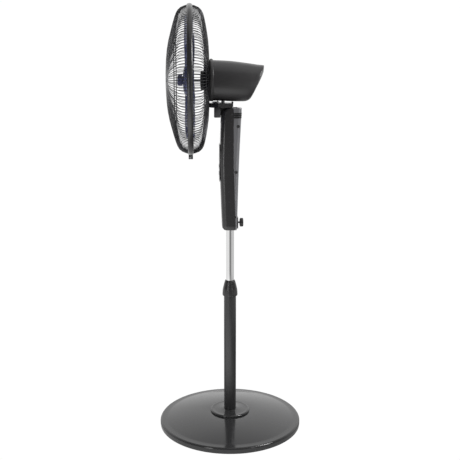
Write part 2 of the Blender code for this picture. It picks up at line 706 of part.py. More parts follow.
def build_panel(column, front):
    """Control panel with its window, keys and circuit board."""
    middle = (PANEL_BOTTOM + PANEL_TOP) / 2.0
    face = min(case_at(PANEL_BOTTOM)[0], case_at(PANEL_TOP)[0], case_at(middle)[0], case_at(0.852)[0])
    panel_rear = face - TOUCH
    panel_front = panel_rear - PANEL_THICKNESS
    low = (panel_front, -PANEL_HALF_WIDTH, PANEL_BOTTOM)
    high = (panel_rear, PANEL_HALF_WIDTH, PANEL_TOP)
    panel = block("control_panel", low, high, "gloss_black", column)

    window_low = PANEL_TOP - WINDOW_HEIGHT - 0.008
    pane_low = (panel_front - 0.0004, -WINDOW_HALF_WIDTH, window_low)
    pane_high = (panel_rear, WINDOW_HALF_WIDTH, window_low + WINDOW_HEIGHT)
    block("display_window", pane_low, pane_high, "window_black", column)
    gap_low = (pane_low[0] - 0.002, pane_low[1] - TOUCH, pane_low[2] - TOUCH)
    gap_high = (pane_high[0] + 0.001, pane_high[1] + TOUCH, pane_high[2] + TOUCH)
    cut(panel, block("window_opening", gap_low, gap_high, "steel", column))

    for index, name in enumerate(("power_key", "speed_key", "timer_key", "swing_key")):
        y = (-0.5 if index % 2 == 0 else 0.5) * KEY_SPACING
        z = KEY_Z + (index // 2) * KEY_SPACING
        place = (panel_front - KEY_PROUD, y, z)
        key_axis = pivot(f"{name}_axis", place, column)
        cap = (
            (0.0, 0.0),
            (KEY_RADIUS - 0.0006, 0.0),
            (KEY_RADIUS, 0.0006),
            (KEY_RADIUS, KEY_DEPTH),
            (0.0, KEY_DEPTH),
        )
        turned(name, cap, "key_grey", place, "X", 16, key_axis)
        bore = KEY_RADIUS + SCREW_GAP
        tool = cylinder(f"{name}_hole", bore, -0.003, 0.012, "steel", place, "X", 16, column)
        cut(panel, tool)
        cut(front, tool)

    board_front = panel_front - KEY_PROUD + KEY_DEPTH + 0.0020
    board_low = (board_front, -0.022, PANEL_BOTTOM + 0.004)
    board_high = (board_front + BOARD_THICKNESS, 0.022, PANEL_TOP - 0.010)
    block("circuit_board", board_low, board_high, "circuit_green", column)


# ---------------------------------------------------------------- neck
def build_neck(neck):
    """Tilting neck bracket with the swing motor under its plate."""
    outline = [(NECK_PLATE_REAR, -NECK_PLATE_REAR_HALF_WIDTH), (NECK_PLATE_REAR, NECK_PLATE_REAR_HALF_WIDTH)]
    for step in range(11):
        angle = math.radians(112.0 + 13.6 * step)
        x = SWING_X + NECK_PLATE_ROUND * math.cos(angle)
        outline.append((x, NECK_PLATE_ROUND * math.sin(angle)))
    rings = flat_rings(outline, NECK_PLATE_LOW, NECK_PLATE_HIGH)
    bracket = loft("neck_bracket", rings, "gloss_black", (TILT_X, 0.0, TILT_Z), neck)
    # The plate's rear underside is cut away, so that it clears the box when the head tilts up.
    lowest = NECK_PLATE_LOW - 0.001
    rise = 0.0135 * math.tan(TILT_UP) + 0.001
    wedge = []
    for side in (-0.050, 0.050):
        wedge.append([(-0.002, side, lowest), (0.0115, side, lowest), (0.0115, side, lowest + rise)])
    cut(bracket, loft("tilt_relief", wedge, "gloss_black", (TILT_X, 0.0, TILT_Z), neck))
    axis = (TILT_X, 0.0, TILT_Z)
    half = KNUCKLE_HALF_WIDTH
    web_low = (TILT_X - 0.013, -half + 0.001, TILT_Z)
    web_high = (NECK_PLATE_REAR - 0.001, half - 0.001, NECK_PLATE_LOW + 0.002)
    add(bracket, block("neck_web", web_low, web_high, "gloss_black", neck))
    # The side wall on the swing motor's side ends behind the motor.
    for side, front_x in ((-1.0, CRANK_X + SYNC_COVER_HALF_LENGTH + 0.0006), (1.0, CRANK_X - 0.006)):
        inner, outer = sorted((side * NECK_WALL_INNER, side * (half - 0.001)))
        wall_low = (front_x, inner, NECK_PLATE_LOW - NECK_WALL_DEPTH)
        wall_high = (TILT_X - 0.008, outer, NECK_PLATE_LOW + 0.002)
        wall_name = "neck_wall_left" if side < 0.0 else "neck_wall_right"
        add(bracket, block(wall_name, wall_low, wall_high, "gloss_black", neck))
    knuckle = cylinder("neck_knuckle", KNUCKLE_RADIUS, -half, half, "gloss_black", axis, "Y", 24, neck)
    add(bracket, knuckle)
    hook_low = (NECK_PLATE_REAR - 0.003, -0.012, NECK_PLATE_HIGH - 0.001)
    hook_high = (NECK_PLATE_REAR + 0.0015, 0.012, NECK_PLATE_HIGH + NECK_HOOK_HEIGHT)
    add(bracket, block("neck_hook", hook_low, hook_high, "gloss_black", neck))

    bore = TILT_BOLT_RADIUS + SCREW_GAP
    cut(bracket, cylinder("knuckle_bore", bore, -0.03, 0.03, "steel", axis, "Y", 16, neck))
    bush_outer = POST_RADIUS + RUNNING + BUSH_WALL
    swing_axis = (SWING_X, 0.0, NECK_PLATE_LOW)
    deep = NECK_PLATE_THICKNESS
    tool = cylinder("bush_bore", bush_outer + TOUCH, -0.01, deep + 0.01, "steel", swing_axis, steps=24, parent=neck)
    cut(bracket, tool)
    bush_inner = POST_RADIUS + RUNNING
    ring("pivot_bush", bush_inner, bush_outer, 0.0, deep, "brass", swing_axis, parent=neck)

    drive = (CRANK_X, CRANK_Y, NECK_PLATE_LOW)
    shaft_hole = 0.0025 + RUNNING
    tool = cylinder("crank_bore", shaft_hole, -0.01, deep + 0.01, "steel", drive, parent=neck)
    cut(bracket, tool)
    motor_high = -TOUCH
    motor_low = motor_high - SYNC_MOTOR_HEIGHT
    motor = (
        (0.0, motor_low),
        (SYNC_MOTOR_RADIUS, motor_low),
        (SYNC_MOTOR_RADIUS, motor_high),
        (shaft_hole, motor_high),
        (shaft_hole, motor_high - 0.006),
        (0.0, motor_high - 0.006),
    )
    turned("swing_motor", motor, "steel", drive, parent=neck)
    long, wide = SYNC_COVER_HALF_LENGTH, SYNC_COVER_HALF_WIDTH
    cover_low = (CRANK_X - long, CRANK_Y - wide, NECK_PLATE_LOW - SYNC_COVER_HEIGHT)
    cover_high = (CRANK_X + long, CRANK_Y + wide, NECK_PLATE_LOW - TOUCH)
    cover = block("swing_motor_cover", cover_low, cover_high, "gloss_black", neck, bevel=0.002)
    inside_low = [value + SYNC_COVER_WALL for value in cover_low]
    inside_high = [cover_high[0] - SYNC_COVER_WALL, cover_high[1] - SYNC_COVER_WALL, cover_high[2] + 0.01]
    cut(cover, block("cover_inside", inside_low, inside_high, "steel", neck))


def build_swing_drive(neck):
    """Crank on the swing motor and the link to the head's stud."""
    crank_axis = pivot("crank_axis", (CRANK_X, CRANK_Y, CRANK_LOW), neck)
    place = (CRANK_X, CRANK_Y, CRANK_LOW)
    down = CRANK_LOW - NECK_PLATE_LOW + 0.004
    disc = CRANK_ARM + 0.0028
    profile = (
        (0.0, -down),
        (0.0025, -down),
        (0.0025, 0.0),
        (disc, 0.0),
        (disc, CRANK_THICKNESS),
        (0.0, CRANK_THICKNESS),
    )
    crank = turned("swing_crank", profile, "steel", place, steps=24, parent=crank_axis)
    pin_place = (CRANK_X - CRANK_ARM, CRANK_Y, CRANK_LOW)
    pin_high = LINK_HIGH - CRANK_LOW + 0.0004
    pin = cylinder("crank_pin", CRANK_PIN_RADIUS, 0.001, pin_high, "steel", pin_place, parent=crank_axis)
    add(crank, pin)

    link_axis = pivot("link_axis", (pin_place[0], pin_place[1], LINK_LOW), crank_axis)
    start = Vector((pin_place[0], pin_place[1]))
    stud = Vector((SWING_X - STUD_ARM, 0.0))
    # How far the stud moves in the eye over the whole swing, the link staying parallel.
    slot_x = CRANK_ARM * (1.0 - math.cos(2.0 * SWING_LIMIT)) - STUD_ARM * (1.0 - math.cos(SWING_LIMIT))
    half_swing = SWING_LIMIT / 2.0
    slot_y = CRANK_ARM * math.sin(2.0 * half_swing) - STUD_ARM * math.sin(half_swing)
    eye = STUD_RADIUS + slot_y + RUNNING
    wall = 0.0015
    outer = oval(stud, slot_x, eye + wall)
    inner = oval(stud, slot_x, eye)
    link = loft("swing_link", flat_rings(outer, LINK_LOW, LINK_HIGH), "steel", (*start, LINK_LOW), link_axis)
    along = (stud - start).normalized()
    across = Vector((-along.y, along.x)) * LINK_HALF_WIDTH
    bar = (start + across, start - across, stud - across, stud + across)
    add(link, loft("link_bar", flat_rings(bar, LINK_LOW, LINK_HIGH), "steel", (*start, LINK_LOW), link_axis))
    end = cylinder("link_end", 0.0042, 0.0, LINK_THICKNESS, "steel", (*start, LINK_LOW), parent=link_axis)
    add(link, end)
    slot = loft("link_slot", flat_rings(inner, LINK_LOW - 0.002, LINK_HIGH + 0.002), "steel", (*start, LINK_LOW), link_axis)
    cut(link, slot)
    hole = CRANK_PIN_RADIUS + SCREW_GAP
    cut(link, cylinder("link_hole", hole, -0.002, 0.006, "steel", (*start, LINK_LOW), parent=link_axis))


def oval(stud, length, radius):
    """A slot outline: the stud rests in its +X end and moves towards -X."""
    points = []
    for centre_x, start in ((stud.x, -90.0), (stud.x - length, 90.0)):
        for step in range(9):
            angle = math.radians(start + 22.5 * step)
            points.append(Vector((centre_x + radius * math.cos(angle), stud.y + radius * math.sin(angle))))
    return points


def flat_rings(outline, low, high):
    """The same flat outline at two heights, for a loft."""
    return [[(point[0], point[1], height) for point in outline] for height in (low, high)]


# ---------------------------------------------------------------- head
def build_head(head):
    """Pivot post, motor and its covers; they swing about Z."""
    axis = (SWING_X, 0.0, NECK_PLATE_LOW)
    clip_low = -0.0052
    top = HEAD_LOW - NECK_PLATE_LOW
    post = (
        (0.0, clip_low - 0.0010),
        (POST_RADIUS - 0.0012, clip_low - 0.0010),
        (POST_RADIUS - 0.0012, -0.0018),
        (POST_RADIUS, -0.0018),
        (POST_RADIUS, top - TOUCH),
        (0.0, top - TOUCH),
    )
    turned("pivot_post", post, "steel", axis, parent=head)
    clip_bore = POST_RADIUS - 0.0012 + SCREW_GAP
    ring("pivot_clip", clip_bore, 0.0074, clip_low, -0.0021, "steel", axis, parent=head)

    build_motor(head)
    build_housing(head)


def build_motor(head):
    """Brackets, stator, coils and bearings of the motor."""
    bearing_hole = BEARING_RADIUS + TOUCH
    skirt_inner = STATOR_RADIUS + TOUCH
    skirt_outer = skirt_inner + BRACKET_WALL
    plate_front = HOUSING_FRONT + 0.0005
    plate_rear = plate_front + 0.003
    plate_radius = HOUSING_RADIUS - HOUSING_WALL - 0.0015
    stator_rear = STATOR_FRONT + STATOR_LENGTH
    middle = STATOR_FRONT + STATOR_LENGTH / 2.0
    front = (
        (bearing_hole, plate_front),
        (plate_radius, plate_front),
        (plate_radius, plate_rear),
        (skirt_outer, plate_rear),
        (skirt_outer, middle - 0.005),
        (skirt_inner, middle - 0.005),
        (skirt_inner, plate_rear),
        (bearing_hole, plate_rear),
    )
    bracket = turned("motor_front_bracket", front, "aluminium", AXLE, "X", 32, head)
    foot_low = (SWING_X - STUD_ARM - 0.005, -0.008, HEAD_LOW)
    foot_high = (SWING_X + 0.009, 0.008, AXIS_Z - skirt_outer + 0.0015)
    add(bracket, block("bracket_foot", foot_low, foot_high, "aluminium", head))
    stud_place = (SWING_X - STUD_ARM, 0.0, LINK_LOW)
    stud_high = HEAD_LOW + 0.002 - LINK_LOW
    stud = cylinder("swing_stud", STUD_RADIUS, 0.0, stud_high, "steel", stud_place, steps=12, parent=head)
    add(bracket, stud)
    bell_rear = stator_rear + COIL_LENGTH + 0.0045
    rear = (
        (bearing_hole, bell_rear),
        (bearing_hole, bell_rear + 0.003),
        (skirt_outer, bell_rear + 0.003),
        (skirt_outer, middle + 0.005),
        (skirt_inner, middle + 0.005),
        (skirt_inner, bell_rear),
    )
    turned("motor_rear_bracket", rear, "aluminium", AXLE, "X", 32, head)
    ring(
        "stator_core", STATOR_BORE, STATOR_RADIUS, STATOR_FRONT, stator_rear, "steel", AXLE, "X", 32, head
    )
    coil_inner = STATOR_BORE + 0.003
    coil_outer = STATOR_RADIUS - 0.004
    front_low = STATOR_FRONT - TOUCH - COIL_LENGTH
    ring("stator_coil_front", coil_inner, coil_outer, front_low, STATOR_FRONT - TOUCH, "copper", AXLE, "X", 24, head)
    rear_low = stator_rear + TOUCH
    ring("stator_coil_rear", coil_inner, coil_outer, rear_low, rear_low + COIL_LENGTH, "copper", AXLE, "X", 24, head)
    bore = SHAFT_RADIUS + SCREW_GAP
    low = plate_front - 0.0015
    ring("front_bearing", bore, BEARING_RADIUS, low, low + BEARING_LENGTH, "brass", AXLE, "X", 24, head)
    low = bell_rear - 0.003
    ring("rear_bearing", bore, BEARING_RADIUS, low, low + BEARING_LENGTH, "brass", AXLE, "X", 24, head)


def housing_ring_points(station, inset, shift):
    """One slanted ring of the housing, drawn in by inset and moved forward by shift."""
    top_x, top_z, bottom_x, bottom_z, half_width = station
    top = Vector((top_x - shift, 0.0, top_z))
    bottom = Vector((bottom_x - shift, 0.0, bottom_z))
    middle = (top + bottom) / 2.0
    up = (top - bottom) / 2.0
    up -= up.normalized() * inset
    side = Vector((0.0, half_width - inset, 0.0))
    points = []
    for step in range(32):
        angle = 2.0 * math.pi * step / 32
        points.append(middle + up * math.cos(angle) + side * math.sin(angle))
    return points


def build_housing(head):
    """Rear housing shell, front cover with its threaded boss, and the lock nut."""
    rings = [housing_ring_points(station, 0.0, 0.0) for station in HOUSING_STATIONS]
    housing = loft("motor_housing", rings, "housing_grey", AXLE, head)
    hollow = []
    for station in HOUSING_STATIONS:
        at_front = station is HOUSING_STATIONS[0]
        shift = 0.004 if at_front else HOUSING_WALL
        hollow.append(housing_ring_points(station, HOUSING_WALL, shift))
    cut(housing, loft("housing_inside", hollow, "housing_grey", AXLE, head))
    slot_low = (SWING_X - STUD_ARM - 0.007, -0.010, HEAD_LOW - 0.010)
    slot_high = (SWING_X + 0.011, 0.010, HEAD_LOW + 0.012)
    cut(housing, block("post_slot", slot_low, slot_high, "steel", head))

    rear = HOUSING_FRONT - TOUCH
    front = rear - COLLAR_RING_LENGTH
    outer = HOUSING_RADIUS + COLLAR_RING_PROUD
    wall = BRACKET_WALL
    bore = SHAFT_RADIUS + 0.004
    cover = (
        (bore, BOSS_FRONT),
        (BOSS_RADIUS, BOSS_FRONT),
        (BOSS_RADIUS, GRILLE_SEAT_X),
        (GRILLE_SEAT_RADIUS, GRILLE_SEAT_X),
        (outer - 0.006, front),
        (outer - 0.0015, front + 0.001),
        (outer, front + 0.003),
        (outer, rear),
        (outer - wall - 0.001, rear),
        (outer - wall - 0.001, front + wall + 0.003),
        (GRILLE_SEAT_RADIUS - 0.001, GRILLE_SEAT_X + wall + 0.002),
        (bore, GRILLE_SEAT_X + wall + 0.002),
    )
    turned("motor_front_cover", cover, "housing_grey", AXLE, "X", 32, head)
    nut_rear = GRILLE_SEAT_X - GRILLE_SEAT_LIFT - 0.55 * GUARD_WIRE - 2.0 * TOUCH
    nut_bore = BOSS_RADIUS + TOUCH
    ring(
        "grille_lock_nut", nut_bore, LOCK_NUT_RADIUS, nut_rear - LOCK_NUT_LENGTH, nut_rear,
        "gloss_black", AXLE, "X", 24, head,
    )


# ---------------------------------------------------------------- guard
def wire_grid(name, points, side, parent):
    """A turned wire grid: rings joined by straight wires, one closed solid."""
    shape = bmesh.new()
    rows = []
    for radius, ahead in points:
        row = []
        for step in range(GUARD_SPOKES):
            angle = 2.0 * math.pi * step / GUARD_SPOKES
            row.append(shape.verts.new((side * ahead, radius * math.cos(angle), radius * math.sin(angle))))
        rows.append(row)
    for outer, inner in zip(rows, rows[1:]):
        for step in range(GUARD_SPOKES):
            after = (step + 1) % GUARD_SPOKES
            shape.faces.new((outer[step], outer[after], inner[after], inner[step]))
    made = add_object(name, shape, "wire_steel", (RIM_X, 0.0, AXIS_Z), parent)
    wires = made.modifiers.new("wires", "WIREFRAME")
    wires.thickness = GUARD_WIRE
    wires.use_even_offset = True
    wires.use_replace = True
    wires.use_boundary = True
    return made


def build_guard(head):
    """Front and rear grilles, the rim band that joins them, its clip, and the badge."""
    half = RIM_WIDTH / 2.0
    inner = RIM_RADIUS - RIM_BAND
    rim = (
        (inner, -half),
        (RIM_RADIUS - 0.0018, -half),
        (RIM_RADIUS - 0.0004, -0.55 * half),
        (RIM_RADIUS, 0.0),
        (RIM_RADIUS - 0.0004, 0.55 * half),
        (RIM_RADIUS - 0.0018, half),
        (inner, half),
    )
    place = (RIM_X, 0.0, AXIS_Z)
    turned("guard_rim", rim, "gloss_black", place, "X", 48, head)

    edge_radius = (inner - GUARD_EDGE_INSET - GUARD_WIRE) * 0.99
    edge = (edge_radius, GUARD_WIRE)
    wire_grid("front_grille", (edge,) + FRONT_GRILLE, -1.0, head)
    seat = GRILLE_SEAT_X - RIM_X - GRILLE_SEAT_LIFT
    flat = ((GRILLE_SEAT_RADIUS + 0.006, seat), (BOSS_RADIUS + GUARD_WIRE + 0.0015, seat))
    wire_grid("rear_grille", (edge,) + REAR_GRILLE + flat, 1.0, head)

    dome = (
        (0.0, BADGE_DOME),
        (0.5 * BADGE_RADIUS, BADGE_DOME - 0.0010),
        (BADGE_RADIUS - 0.001, BADGE_DOME - 0.0035),
        (BADGE_RADIUS, BADGE_DOME - 0.0045),
        (BADGE_RADIUS, BADGE_DOME - 0.0070),
        (0.0, BADGE_DOME - 0.0070),
    )
    badge = [(radius, -ahead) for radius, ahead in dome]
    turned("front_badge", badge, "badge_silver", place, "X", 32, head)

    clip_top = AXIS_Z - RIM_RADIUS - TOUCH
    clip_low = (RIM_X - CLIP_HALF_WIDTH, -0.008, clip_top - CLIP_DROP)
    clip_high = (RIM_X + CLIP_HALF_WIDTH, 0.008, clip_top)
    clip = block("rim_clip", clip_low, clip_high, "gloss_black", head)
    screw_place = (RIM_X, 0.0, clip_top - 0.0065)
    bore = 0.002 + SCREW_GAP
    cut(clip, cylinder("clip_bore", bore, -0.02, 0.02, "steel", screw_place, "Y", 12, head))
    screw = (
        (0.0, -0.0108),
        (0.0036, -0.0108),
        (0.0036, -0.0080 - TOUCH),
        (0.002, -0.0080 - TOUCH),
        (0.002, 0.0105),
        (0.0, 0.0105),
    )
    turned("rim_screw", screw, "steel", screw_place, "Y", 12, head)


# ---------------------------------------------------------------- rotor
def blade_section(radius):
    """A closed ring of points around one blade at a radius."""
    count = 5
    reach = (radius - HUB_RADIUS) / (BLADE_RADIUS - HUB_RADIUS)
    half_angle = BLADE_HALF_ANGLE * (1.0 - 0.25 * reach**2)
    sweep = math.radians(14.0) * reach
    half_depth = BLADE_HALF_DEPTH * (0.80 + 0.20 * math.sin(math.pi * min(max(reach, 0.0), 1.0)))
    front, back = [], []
    for step in range(count):
        share = 2.0 * step / (count - 1) - 1.0
        angle = sweep + half_angle * share
        x = BLADE_MIDDLE_X + half_depth * share + 0.004 * (1.0 - share**2)
        thickness = BLADE_THICKNESS * (0.5 if abs(share) == 1.0 else 1.0)
        y = radius * math.sin(angle)
        z = AXIS_Z + radius * math.cos(angle)
        front.append((x - thickness / 2.0, y, z))
        back.append((x + thickness / 2.0, y, z))
    return front + back[::-1]


def build_rotor(rotor):
    """Shaft, rotor core, blades and spinner nut; they spin about the motor's axis."""
    shaft_front = SPINNER_FRONT + 0.006
    cylinder("rotor_shaft", SHAFT_RADIUS, shaft_front, SHAFT_REAR, "steel", AXLE, "X", 24, rotor)
    core_bore = SHAFT_RADIUS + SCREW_GAP
    core_end = STATOR_FRONT + STATOR_LENGTH
    core = STATOR_BORE * math.cos(math.pi / 32) - AIR_GAP
    ring("rotor_core", core_bore, core, STATOR_FRONT, core_end, "aluminium", AXLE, "X", 32, rotor)

    wall = BRACKET_WALL
    hub = (
        (core_bore, HUB_FRONT),
        (0.012, HUB_FRONT),
        (0.013, HUB_FRONT + 0.002),
        (0.72 * HUB_RADIUS, HUB_FRONT + 0.0025),
        (HUB_RADIUS, HUB_FRONT + 0.0085),
        (HUB_RADIUS + 0.001, HUB_REAR),
        (HUB_RADIUS + 0.001 - wall, HUB_REAR),
        (HUB_RADIUS - wall, HUB_FRONT + 0.0085 + wall),
        (0.70 * HUB_RADIUS, HUB_FRONT + 0.0025 + wall),
        (0.012, HUB_FRONT + 0.0025 + wall),
        (0.012, HUB_REAR),
        (core_bore, HUB_REAR),
    )
    blades = turned("fan_blades", hub, "blade_smoke", AXLE, "X", 30, rotor)
    radii = [HUB_RADIUS - 0.0008 + share * (BLADE_RADIUS - HUB_RADIUS) for share in (0.0, 0.25, 0.55, 0.85)]
    radii.append(BLADE_RADIUS)
    for index in range(BLADE_COUNT):
        turn = Matrix.Rotation(2.0 * math.pi * index / BLADE_COUNT, 4, "X")
        centre = Vector(AXLE)
        rings = []
        for radius in radii:
            section = blade_section(radius)
            rings.append([turn @ (Vector(point) - centre) + centre for point in section])
        add(blades, loft(f"blade_{index + 1}", rings, "blade_smoke", AXLE, rotor))

    spinner_rear = HUB_FRONT - TOUCH
    spinner = (
        (0.0, SPINNER_FRONT),
        (0.6 * SPINNER_RADIUS, SPINNER_FRONT),
        (0.92 * SPINNER_RADIUS, SPINNER_FRONT + 0.002),
        (SPINNER_RADIUS, SPINNER_FRONT + 0.006),
        (SPINNER_RADIUS, spinner_rear),
        (core_bore, spinner_rear),
        (core_bore, shaft_front - TOUCH),
        (0.0, shaft_front - TOUCH),
    )
    turned("blade_spinner", spinner, "blade_smoke", AXLE, "X", 24, rotor)


def main():
    """Build the whole fan from the floor up."""
    clear_scene()
    build_stand()
    build_collar()
    column = pivot("height_axis", (0.0, 0.0, TUBE_BOTTOM))
    build_tube(column)
    front = build_case(column)
    build_panel(column, front)
    neck = pivot("tilt_axis", (TILT_X, 0.0, TILT_Z), column)
    build_neck(neck)
    build_swing_drive(neck)
    head = pivot("swing_axis", (SWING_X, 0.0, NECK_PLATE_HIGH), neck)
    build_head(head)
    build_guard(head)
    rotor = pivot("rotor_axis", AXLE, head)
    build_rotor(rotor)


main()
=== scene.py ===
"""Looks of a pedestal fan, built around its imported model.

Frame: metres, +Z up, origin on the floor under the pole, the fan blows towards -X.
"""

from __future__ import annotations

import json
import logging
import math
from dataclasses import dataclass
from enum import Enum

import bmesh
import bpy
from mathutils import Matrix, Vector


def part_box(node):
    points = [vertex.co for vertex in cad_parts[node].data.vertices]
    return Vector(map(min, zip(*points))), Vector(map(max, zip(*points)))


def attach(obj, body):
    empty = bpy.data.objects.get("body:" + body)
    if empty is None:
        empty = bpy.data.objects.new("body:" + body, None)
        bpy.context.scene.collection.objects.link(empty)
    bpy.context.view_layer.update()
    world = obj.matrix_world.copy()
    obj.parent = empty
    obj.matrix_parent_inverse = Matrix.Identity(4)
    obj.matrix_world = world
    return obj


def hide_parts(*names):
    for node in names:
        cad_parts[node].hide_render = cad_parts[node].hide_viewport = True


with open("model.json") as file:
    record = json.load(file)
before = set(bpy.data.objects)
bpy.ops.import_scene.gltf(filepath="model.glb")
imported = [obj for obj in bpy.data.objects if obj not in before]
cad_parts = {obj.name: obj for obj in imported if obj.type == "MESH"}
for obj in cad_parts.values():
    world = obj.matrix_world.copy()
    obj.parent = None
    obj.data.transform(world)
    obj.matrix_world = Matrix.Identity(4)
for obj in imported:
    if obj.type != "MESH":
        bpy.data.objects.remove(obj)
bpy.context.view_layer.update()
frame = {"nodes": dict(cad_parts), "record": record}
LOG = logging.getLogger("pedestal_fan")

MM = 0.001
Point = tuple[float, float, float]
Profile = list[tuple[float, float]]


# ---------------------------------------------------------------- frame readings
def low(node: str) -> Vector:
    """Lowest corner of a CAD node at rest."""
    return Vector(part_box(node)[0])


def high(node: str) -> Vector:
    """Highest corner of a CAD node at rest."""
    return Vector(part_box(node)[1])


def middle(node: str) -> Vector:
    """Middle of a CAD node's box at rest."""
    return (low(node) + high(node)) / 2.0


def joint_place(name: str) -> Vector:
    """Point that a joint's axis passes through."""
    for joint in frame["record"]["behaviour"]["joints"]:
        if joint["name"] == name:
            return Vector(joint["pos_m"])
    raise KeyError(name)


AXLE = joint_place("rotor_spin")
TILT = joint_place("tilt")


# ---------------------------------------------------------------- finishes
def linear(code: str) -> tuple[float, float, float, float]:
    """Turn an sRGB hex colour into a linear colour.

    Args:
        code: colour such as "#1f1e1f".

    Returns:
        Linear red, green and blue, and an alpha of 1.
    """
    values = []
    for start in (1, 3, 5):
        share = int(code[start : start + 2], 16) / 255.0
        values.append(share / 12.92 if share <= 0.04045 else ((share + 0.055) / 1.055) ** 2.4)
    return (values[0], values[1], values[2], 1.0)


def add_node(
    tree: bpy.types.NodeTree, kind: str, settings: dict[str, object] | None = None, **links: object
) -> bpy.types.Node:
    """Add a node, set it up and link or fill its inputs.

    Args:
        tree: node tree that gets the node.
        kind: the node's type name.
        settings: attributes to set on the node.
        links: input name, with _ for a space, or i and an index; a socket links, a value fills.

    Returns:
        The new node.
    """
    made = tree.nodes.new(kind)
    for key, value in (settings or {}).items():
        setattr(made, key, value)
    for key, value in links.items():
        numbered = key[0] == "i" and key[1:].isdigit()
        spot = made.inputs[int(key[1:]) if numbered else key.replace("_", " ")]
        if isinstance(value, bpy.types.NodeSocket):
            tree.links.new(value, spot)
        else:
            spot.default_value = value
    return made


class Grain(Enum):
    """How the fine pattern of a surface runs."""

    EVEN = "even"  # same in every direction, as a moulded skin or a powder coat
    UPRIGHT = "upright"  # long lines along Z, as on a drawn tube
    TURNED = "turned"  # rings about the motor's axis, as on a spun face


@dataclass(frozen=True)
class Finish:
    """A surface: what it is made of, how it was made, and how that meets the eye.

    Attributes:
        name: name of the material.
        colour: main sRGB colour.
        second: sRGB colour that it drifts towards in soft patches.
        roughness: mean roughness of the surface.
        spread: how far the roughness drifts either way.
        grain_mm: spacing of the fine pattern.
        grain_depth: strength of the fine pattern's bump.
        grain: how the fine pattern runs.
        metallic: 1 for bare metal.
        ior: refractive index of a plastic or a lacquer.
        transmission: share of light that passes through.
        coat: share of clear lacquer on top.
        patch_mm: size of the soft patches.
    """

    name: str
    colour: str
    second: str
    roughness: float
    spread: float = 0.05
    grain_mm: float = 0.8
    grain_depth: float = 0.05
    grain: Grain = Grain.EVEN
    metallic: float = 0.0
    ior: float = 1.53
    transmission: float = 0.0
    coat: float = 0.0
    patch_mm: float = 60.0

    def coordinates(self, tree: bpy.types.NodeTree) -> bpy.types.NodeSocket:
        """Return the coordinates that the fine pattern reads, in metres."""
        place = add_node(tree, "ShaderNodeTexCoord").outputs["Object"]
        if self.grain is Grain.EVEN:
            return place
        if self.grain is Grain.UPRIGHT:
            return add_node(tree, "ShaderNodeMapping", Vector=place, Scale=(1.0, 1.0, 0.02)).outputs[0]
        centred = add_node(tree, "ShaderNodeMapping", Vector=place, Location=tuple(-AXLE)).outputs[0]
        flat = add_node(tree, "ShaderNodeVectorMath", {"operation": "MULTIPLY"}, i0=centred, i1=(0.0, 1.0, 1.0))
        radius = add_node(tree, "ShaderNodeVectorMath", {"operation": "LENGTH"}, i0=flat.outputs[0])
        return add_node(tree, "ShaderNodeCombineXYZ", X=radius.outputs["Value"]).outputs[0]

    def material(self) -> bpy.types.Material:
        """Build the material, or return the one already built."""
        found = bpy.data.materials.get(self.name)
        if found:
            return found
        made = bpy.data.materials.new(self.name)
        made.use_nodes = True
        tree = made.node_tree
        shader = tree.nodes["Principled BSDF"]
        place = add_node(tree, "ShaderNodeTexCoord").outputs["Object"]
        patches = add_node(
            tree, "ShaderNodeTexNoise", Vector=place, Scale=1.0 / (self.patch_mm * MM), Detail=3.0, Roughness=0.5
        ).outputs[0]
        colour = add_node(
            tree, "ShaderNodeMix", {"data_type": "RGBA"}, i0=patches, i6=linear(self.colour), i7=linear(self.second)
        ).outputs[2]
        tree.links.new(colour, shader.inputs["Base Color"])
        smears = add_node(
            tree, "ShaderNodeTexNoise", Vector=place, Scale=1.0 / (0.25 * self.patch_mm * MM), Detail=4.0
        ).outputs[0]
        rough = add_node(
            tree,
            "ShaderNodeMapRange",
            i0=smears,
            i1=0.3,
            i2=0.7,
            i3=max(self.roughness - self.spread, 0.02),
            i4=self.roughness + self.spread,
        ).outputs[0]
        tree.links.new(rough, shader.inputs["Roughness"])
        fine = add_node(
            tree, "ShaderNodeTexNoise", Vector=self.coordinates(tree), Scale=1.0 / (self.grain_mm * MM), Detail=2.0
        ).outputs[0]
        bump = add_node(tree, "ShaderNodeBump", Height=fine, Strength=self.grain_depth, Distance=0.2 * MM)
        tree.links.new(bump.outputs[0], shader.inputs["Normal"])
        shader.inputs["Metallic"].default_value = self.metallic
        if self.metallic < 1.0:
            shader.inputs["IOR"].default_value = self.ior
        shader.inputs["Transmission Weight"].default_value = self.transmission
        shader.inputs["Coat Weight"].default_value = self.coat
        return made


# Injection-moulded ABS from a polished mould: a deep near-black gloss with faint flow marks.
GLOSS_ABS = Finish("gloss_black_abs", "#2b2a2b", "#302f30", 0.26, 0.03, grain_mm=1.6, grain_depth=0.012)
# ABS from an eroded mould: satin dark grey, an even fine grain that breaks up highlights.
SATIN_ABS = Finish("satin_grey_abs", "#343334", "#383738", 0.36, 0.03, grain_mm=0.7, grain_depth=0.012)
# Glossy dark grey ABS of the base, wide and slightly uneven, so reflections waver.
BASE_ABS = Finish("gloss_grey_abs", "#323233", "#373738", 0.11, 0.03, grain_mm=9.0, grain_depth=0.015, patch_mm=120.0)
# Unpainted grey polypropylene of the swing motor box, duller than the covers; its paler grey is painted light, a
# lighter copy of the satin grey against the shade under the head.
GREY_PP_PAINTED_LIGHT = Finish("grey_polypropylene_painted_light", "#4a4a4c", "#515153", 0.45, 0.04, grain_mm=0.8, grain_depth=0.01, ior=1.49)
# Powder-coated steel tube: gloss black with the orange peel of a baked coat.
POWDER_COAT = Finish("black_powder_coat", "#303031", "#343435", 0.30, 0.03, grain_mm=1.8, grain_depth=0.01)
# Chromed steel tube: a mirror with faint lines of the drawing die.
CHROME_TUBE = Finish(
    "chromed_steel_tube", "#e7e7e7", "#e0e0e0", 0.07, 0.02, 0.5, 0.02, Grain.UPRIGHT, metallic=1.0
)
